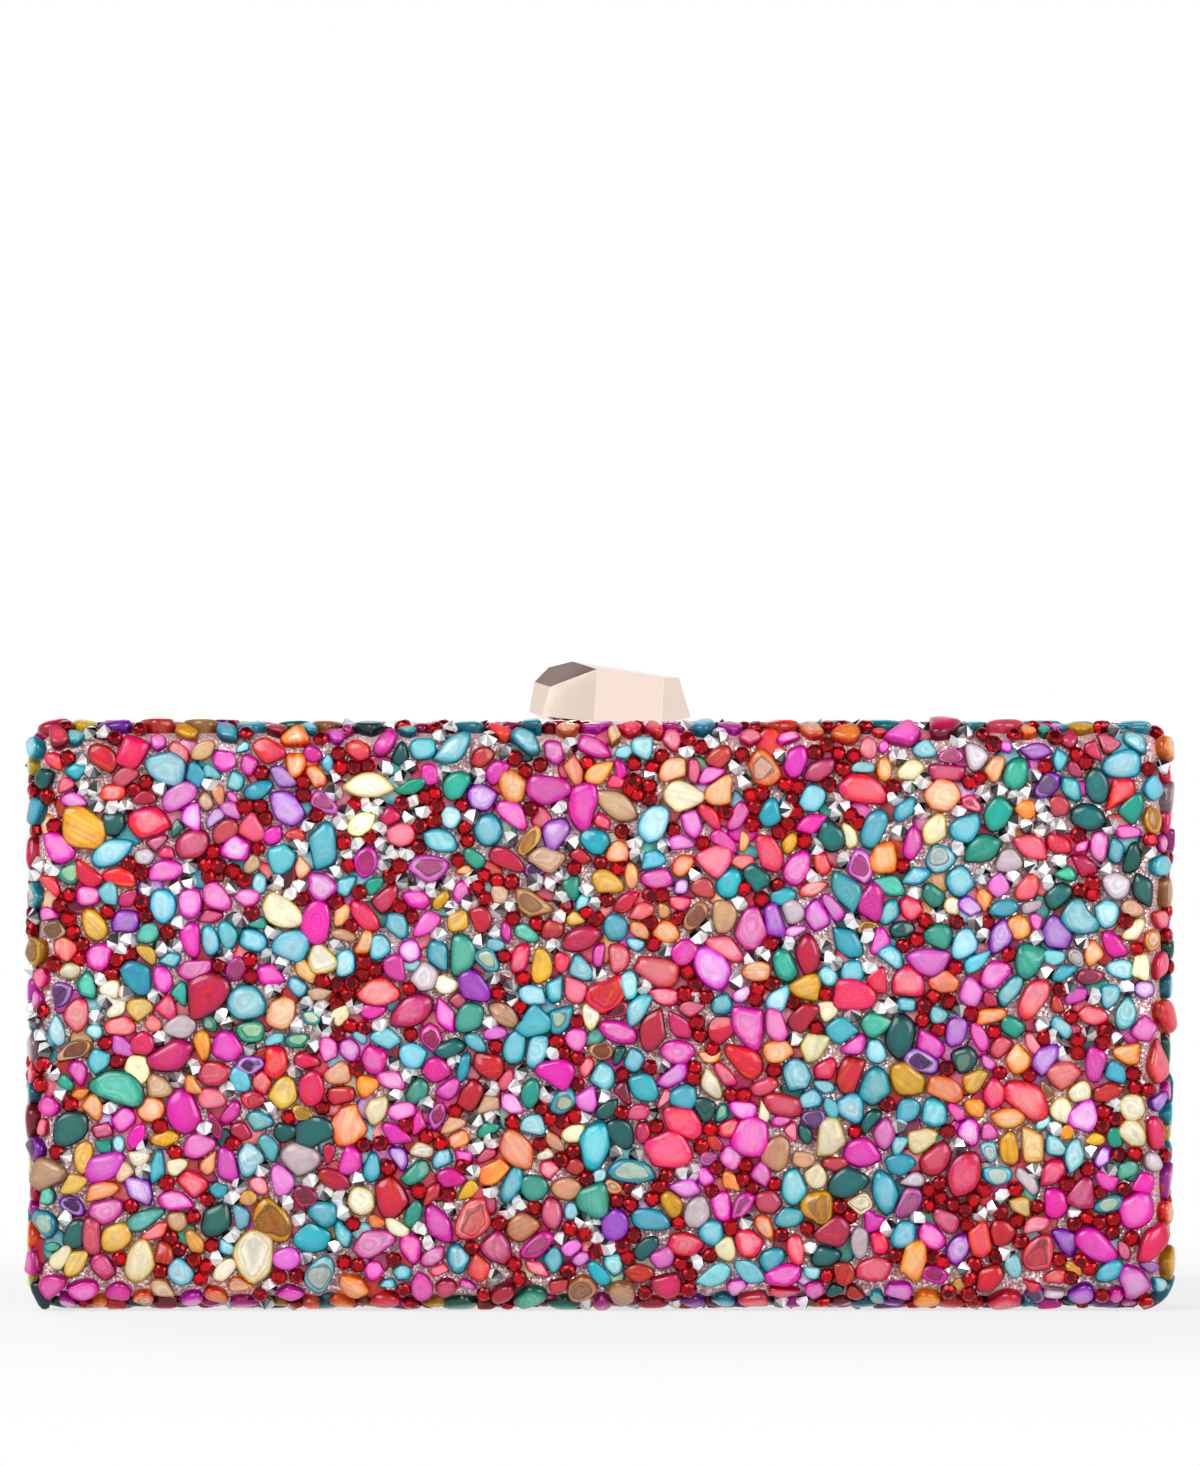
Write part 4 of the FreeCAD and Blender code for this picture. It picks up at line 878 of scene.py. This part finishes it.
# Dyes: share of the chips, rim, body, heart and core colour, and the share that shows a core.
# The dark rim colours are partly painted shade, and the pale heart colours partly a painted sheen.
DYES = {
    "fuchsia": (0.13, (0.34, 0.001, 0.15), (0.67, 0.012, 0.34), (0.86, 0.38, 0.67),
                (0.26, 0.003, 0.06), 0.08),
    "orchid": (0.06, (0.34, 0.01, 0.26), (0.64, 0.09, 0.5), (0.84, 0.55, 0.78),
               (0.3, 0.01, 0.1), 0.08),
    "coral": (0.14, (0.4, 0.004, 0.022), (0.78, 0.034, 0.085), (0.9, 0.35, 0.38),
              (0.5, 0.05, 0.06), 0.06),
    "raspberry": (0.06, (0.17, 0.001, 0.02), (0.43, 0.012, 0.07), (0.72, 0.22, 0.31),
                  (0.14, 0.004, 0.02), 0.08),
    "crimson": (0.05, (0.13, 0.001, 0.006), (0.4, 0.005, 0.022), (0.62, 0.07, 0.1),
                (0.06, 0.002, 0.005), 0.08),
    "turquoise": (0.15, (0.001, 0.09, 0.13), (0.008, 0.3, 0.4), (0.4, 0.71, 0.77),
                  (0.42, 0.5, 0.36), 0.09),
    "aqua": (0.07, (0.01, 0.17, 0.24), (0.14, 0.48, 0.58), (0.54, 0.77, 0.81),
             (0.42, 0.46, 0.4), 0.08),
    "emerald": (0.055, (0.001, 0.06, 0.042), (0.003, 0.22, 0.155), (0.16, 0.56, 0.44),
                (0.32, 0.5, 0.34), 0.1),
    "pine": (0.035, (0.001, 0.014, 0.016), (0.002, 0.06, 0.06), (0.02, 0.16, 0.15),
             (0.1, 0.2, 0.16), 0.08),
    "orange": (0.085, (0.5, 0.06, 0.006), (0.82, 0.24, 0.06), (0.92, 0.6, 0.42),
               (0.68, 0.44, 0.32), 0.1),
    "cream": (0.05, (0.48, 0.32, 0.06), (0.8, 0.7, 0.4), (0.89, 0.87, 0.75),
              (0.62, 0.56, 0.42), 0.08),
    "amber": (0.035, (0.3, 0.11, 0.004), (0.66, 0.34, 0.04), (0.76, 0.55, 0.26),
              (0.3, 0.11, 0.01), 0.2),
    "tan": (0.04, (0.24, 0.09, 0.04), (0.5, 0.26, 0.14), (0.74, 0.52, 0.37),
            (0.16, 0.06, 0.03), 0.12),
    "violet": (0.042, (0.085, 0.004, 0.17), (0.29, 0.055, 0.44), (0.72, 0.55, 0.82),
               (0.045, 0.003, 0.07), 0.16),
    "pearl": (0.025, (0.2, 0.13, 0.16), (0.5, 0.39, 0.43), (0.74, 0.68, 0.74),
              (0.4, 0.36, 0.33), 0.12),
}
# The low chips in the gaps are mostly the dark ones: how much more often a dye is taken there.
LOW_DYES = {"coral": 2.0, "raspberry": 3.0, "crimson": 3.4, "turquoise": 0.8, "emerald": 1.2,
            "pine": 1.4, "violet": 0.8, "fuchsia": 0.7}
OTHER_LOW_DYES = 0.25

# Shell materials: the dye, with painted shade at the rim and a painted sheen at the heart.
dyed_and_shaded_shells = {}
for name, (_, rim_and_shade_colour, body_colour, heart_and_sheen_colour, core_colour, cored) in DYES.items():
    dyed_and_shaded_shells[name], tree, shader = new_material(name + " shell", Specular_IOR_Level=0.4,
                                                   Coat_Weight=0.2, Coat_Roughness=0.09)
    dye = place_group(tree, shell_dye_and_painted_light, {
        "Rim": (*rim_and_shade_colour, 1), "Body": (*body_colour, 1), "Heart": (*heart_and_sheen_colour, 1),
        "Core": (*core_colour, 1), "Cored": cored})
    set_sockets(tree, shader, {"Base Color": dye["Color"], "Roughness": dye["Roughness"],
                               "Normal": bump(tree, dye["Height"], 0.12, 0.0002)})


# Crystals
# Cut glass with a foil back, glued between the chips. The red ones are round and lie table up;
# the silver ones stick out point up, and each leans its own way.

CRYSTAL_SIDES = 8
CRYSTAL_SIZES = (0.96, 1.1)
SILVER_POINT = 1.4

# Rings of a crystal from its foot up: share of the radius, height in radii, and turn in facets.
RED_RINGS = ((0.62, 0.0, 0), (1.0, 0.62, 0), (1.0, 0.8, 0), (0.8, 1.12, 0.5), (0.5, 1.32, 0))
SILVER_RINGS = ((0.86, 0.0, 0), (1.0, 0.36, 0), (1.0, 0.48, 0))

# The two cuts: scale, lean, range of the seat above the mesh in millimetres, and rings.
CUTS = {"red": (1.04, 0.12, (0.0, 0.4), RED_RINGS),
        "silver": (1.08, 0.4, (0.35, 0.75), SILVER_RINGS)}

# Tones, as painted reflections: each facet gets a tone from dark to bright for the light it
# would mirror. Red facets are mostly deep, and silver ones bright but for four of the eight.
RED_PAINTED_DARKNESS = 1.5
PAINTED_DARK_FACETS = {0: 0.02, 1: 0.14, 2: 0.5, 5: 0.6}
PAINTED_BRIGHT_FACET = 0.88
PAINTED_FACET_SPREAD = 0.12


def foiled_glass(name, dark, bright, foil_shares, **values):
    """Foil-backed glass whose facets run from a dark tone to a bright one, as painted reflections.
    """
    made, tree, shader = new_material(name, **values)
    painted_facet_light = add_node(tree, "Attribute", attribute_name="painted_facet_light").outputs["Fac"]
    set_sockets(tree, shader, {"Base Color": mix(tree, painted_facet_light, dark, bright),
                               "Metallic": ramp(tree, painted_facet_light, 0.0, 1.0, *foil_shares)})
    return made


# The dark and bright facet tones of both crystals are painted reflections. The foil's metal share
# follows the tone.
red_glass = foiled_glass("red crystal", (0.07, 0.0, 0.003, 1), (0.74, 0.002, 0.012, 1),
                         (0.6, 0.85), Coat_Weight=0.15, Coat_Roughness=0.05, Roughness=0.12,
                         Specular_IOR_Level=0.3)
silver_glass = foiled_glass("silver crystal", (0.05, 0.05, 0.055, 1), (0.97, 0.97, 0.98, 1),
                            (1.0, 0.25), Roughness=0.07)


def add_crystal(mesh, layout, n, sign):
    """One cut crystal, from its foot over the girdle to the table or the point."""
    rng = layout.rng
    red = layout.kind[n] == "red"
    scale, lean, seats, rings = CUTS[layout.kind[n]]
    radius = CRYSTAL_RADIUS * rng.uniform(*CRYSTAL_SIZES) * scale
    along, across, out, base = (v[n] for v in (layout.along, layout.across, layout.out, layout.at))
    tip = rng.normal(0, lean, 2)
    tilted = out + along * tip[0] + across * tip[1]
    tilted /= np.linalg.norm(tilted)
    side = along - tilted * (along @ tilted)
    side /= np.linalg.norm(side)
    cross = np.cross(tilted, side)
    seat = rng.uniform(*seats)
    start = len(mesh.points)
    for share, up, turn in rings:
        for k in range(CRYSTAL_SIDES):
            angle = 2 * math.pi * (k + turn) / CRYSTAL_SIDES
            flat = side * math.cos(angle) + cross * math.sin(angle)
            mesh.points.append(base + out * seat + radius * (share * flat + up * tilted))

    def corner(ring, k):
        return start + ring * CRYSTAL_SIDES + k % CRYSTAL_SIDES

    faces = []
    top = len(rings) - 1
    for ring in range(top):
        here, above = rings[ring][2], rings[ring + 1][2]
        for k in range(CRYSTAL_SIDES):
            a, b = corner(ring, k), corner(ring, k + 1)
            c, d = corner(ring + 1, k + 1), corner(ring + 1, k)
            if here == above:
                faces.append((a, b, c, d))
            elif above > here:
                faces += [(a, b, d), (b, c, d)]
            else:
                faces += [(a, c, d), (a, b, c)]
    if red:
        faces.append(tuple(corner(top, k) for k in range(CRYSTAL_SIDES)))
    else:
        mesh.points.append(base + out * seat + radius * SILVER_POINT * tilted)
        point = len(mesh.points) - 1
        faces += [(corner(top, k), corner(top, k + 1), point) for k in range(CRYSTAL_SIDES)]
    # Painted reflections: each facet gets a tone from dark to bright. On a silver crystal the same
    # four sides are painted darker on every tier.
    painted_reflection = rng.random(len(faces)) ** RED_PAINTED_DARKNESS
    if not red:
        around = (np.arange(len(faces)) - rng.integers(CRYSTAL_SIDES)) % CRYSTAL_SIDES
        painted_reflection = np.select([around == k for k in PAINTED_DARK_FACETS], list(PAINTED_DARK_FACETS.values()),
                          PAINTED_BRIGHT_FACET + PAINTED_FACET_SPREAD * painted_reflection)
    for face, tone in zip(faces, painted_reflection):
        mesh.faces.append(face if sign > 0 else face[::-1])
        mesh.painted_facet_light.append(tone)


# Stones set on each half
# The finished crust of chips, low chips and crystals, glued over the face and the walls of a
# half in a mixture of its own. The CAD bed and crowns of the half are hidden.

LAPPING = 0.18
NEIGHBOUR_REACH = 10.0
dyes = list(DYES)
shares = np.array([DYES[name][0] for name in dyes])
low_shares = shares * [LOW_DYES.get(name, OTHER_LOW_DYES) for name in dyes]
for half, sign, seed in (("front", -1, 5), ("back", 1, 8)):
    body = half + "_half"
    layout = Layout(half, seed)
    layout.over = layout.rng.random(layout.count) < LAPPING
    near = neighbours_of(layout, NEIGHBOUR_REACH)
    outlines = {n: chip_outline(layout, n, near[n]) for n in range(layout.count)
                if layout.kind[n] in ("chip", "low")}
    meshes = {name: StoneMesh() for name in dyes + ["red", "silver"]}
    for n in range(layout.count):
        if layout.kind[n] in ("red", "silver"):
            add_crystal(meshes[layout.kind[n]], layout, n, sign)
        elif outlines[n] is not None:
            mixture = low_shares if layout.kind[n] == "low" else shares
            dye = dyes[layout.rng.choice(len(dyes), p=mixture / mixture.sum())]
            add_chip(meshes[dye], layout, n, outlines[n], sign)
    for name in dyes:
        piece = meshes[name].build(f"{half}_{name}_chips", body, dyed_and_shaded_shells[name], smooth=True)
        if name == dyes[0]:
            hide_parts(half + "_stone_bed", half + "_stone_crowns")
    for kind, glass in (("red", red_glass), ("silver", silver_glass)):
        piece = meshes[kind].build(f"{half}_{kind}_crystals", body, glass, smooth=False)


# Studio
# White sweep, broad soft light from the front and above, and a long lens level with the
# middle of the case.

FLOOR = 6
floor_mesh = bpy.data.meshes.new("floor")
floor_corners = [(-FLOOR, -FLOOR, 0), (FLOOR, -FLOOR, 0), (FLOOR, FLOOR, 0), (-FLOOR, FLOOR, 0)]
floor_mesh.from_pydata(floor_corners, [], [(0, 1, 2, 3)])
floor = bpy.data.objects.new("floor", floor_mesh)
bpy.context.scene.collection.objects.link(floor)

# Looked at or mirrored, the floor turns to plain white away from the case. Near the case it is
# a pale surface that keeps the shadow.
pale, tree, shader = new_material("pale floor", Base_Color=(0.9, 0.9, 0.9, 1), Roughness=0.8,
                                  Specular_IOR_Level=0.1)
ray = add_node(tree, "LightPath").outputs
spot = add_node(tree, "TexCoord").outputs["Object"]
away = add_node(tree, "VectorMath", {0: spot}, operation="LENGTH").outputs["Value"]
sweep = ramp(tree, away, 0.12, 0.42, 0.72, kind="SMOOTHSTEP")
seen = calc(tree, "MAXIMUM", ray["Is Camera Ray"], ray["Is Glossy Ray"])
seen = calc(tree, "MAXIMUM", seen, ray["Is Transmission Ray"])
white = add_node(tree, "Emission", {"Color": (1, 1, 1, 1)})
mixed = add_node(tree, "MixShader", {"Fac": calc(tree, "MULTIPLY", sweep, seen),
                                     1: shader.outputs[0], 2: white.outputs[0]})

# The hinge is at the base, so the opened half hangs below the floor. For the camera the floor
# is cut away over what lies under it, and the light of the lamps passes through.
reach = calc(tree, "MULTIPLY", ray["Is Camera Ray"], 0.3)
below = add_node(tree, "AmbientOcclusion", {"Distance": reach}, inside=True, samples=48)
blocks = calc(tree, "SUBTRACT", 1.0, ray["Is Shadow Ray"])
stays = calc(tree, "MULTIPLY", ramp(tree, below.outputs["AO"], 0.975, 0.9995), blocks)
clear = add_node(tree, "BsdfTransparent")
opened = add_node(tree, "MixShader", {"Fac": stays, 1: clear.outputs[0], 2: mixed.outputs[0]})
set_sockets(tree, tree.nodes["Material Output"], {"Surface": opened.outputs[0]})
floor_mesh.materials.append(pale)

# Plain white for the camera. For the rest it is white all round, with a dark ceiling, a gap at
# each end of the case and nothing below the horizon, and half as strong on dull surfaces.
world = bpy.data.worlds.new("studio")
bpy.context.scene.world = world
world.use_nodes = True
tree = world.node_tree
ray = add_node(tree, "LightPath").outputs
way = add_node(tree, "TexCoord").outputs["Generated"]
x, y, z = add_node(tree, "SeparateXYZ", {0: way}).outputs
upward = ramp(tree, z, 0.42, 0.86, kind="SMOOTHSTEP")
ceiling = mix(tree, upward, (1, 1, 1, 1), (0.15, 0.1, 0.105, 1))
gap = ramp(tree, calc(tree, "ABSOLUTE", x), 0.95, 1.0, 1.0, 0.3, "SMOOTHSTEP")
around = calc(tree, "MULTIPLY", ramp(tree, y, -0.9, 0.3, 0.93), gap)
above = calc(tree, "MULTIPLY", around, ramp(tree, z, -0.05, 0.0))
studio = mix(tree, 1.0, ceiling, above, "MULTIPLY")
set_sockets(tree, tree.nodes["Background"], {
    "Color": mix(tree, ray["Is Camera Ray"], studio, (1, 1, 1, 1)),
    "Strength": ramp(tree, ray["Is Diffuse Ray"], to_low=1.0, to_high=0.5)})


def soft_box(name, at, towards, size, power, mirrored=True):
    """Rectangular soft light aimed at a point; one behind the case isn't mirrored in the metal."""
    lamp = bpy.data.lights.new(name, "AREA")
    lamp.shape = "RECTANGLE"
    lamp.size, lamp.size_y = size
    lamp.energy = power
    made = bpy.data.objects.new(name, lamp)
    made.location = at
    made.rotation_euler = (Vector(towards) - Vector(at)).to_track_quat("-Z", "Y").to_euler()
    made.visible_glossy = mirrored
    bpy.context.scene.collection.objects.link(made)


middle = (0, 0, 0.055)
soft_box("key light", at=(-0.5, -0.9, 0.8), towards=middle, size=(0.75, 0.55), power=9.0)
soft_box("fill light", at=(0.75, -0.8, 0.45), towards=middle, size=(0.5, 0.6), power=4.9)
soft_box("front panel", at=(0.04, -0.95, 0.42), towards=(0, 0, 0.11), size=(0.42, 0.5), power=0.14)
soft_box("back light", at=(-0.35, 0.95, 0.7), towards=middle, size=(0.4, 0.3), power=5.0,
         mirrored=False)

camera = bpy.data.cameras.new("camera")
camera.lens = 167.0
camera.sensor_width = 36.0
camera.shift_y = 0.192
camera_object = bpy.data.objects.new("camera", camera)
camera_object.location = (0, -1.223, 0.0525)
camera_object.rotation_euler = (math.pi / 2, 0, 0)
bpy.context.scene.collection.objects.link(camera_object)
bpy.context.scene.camera = camera_object
bpy.context.scene.view_settings.view_transform = "Standard"
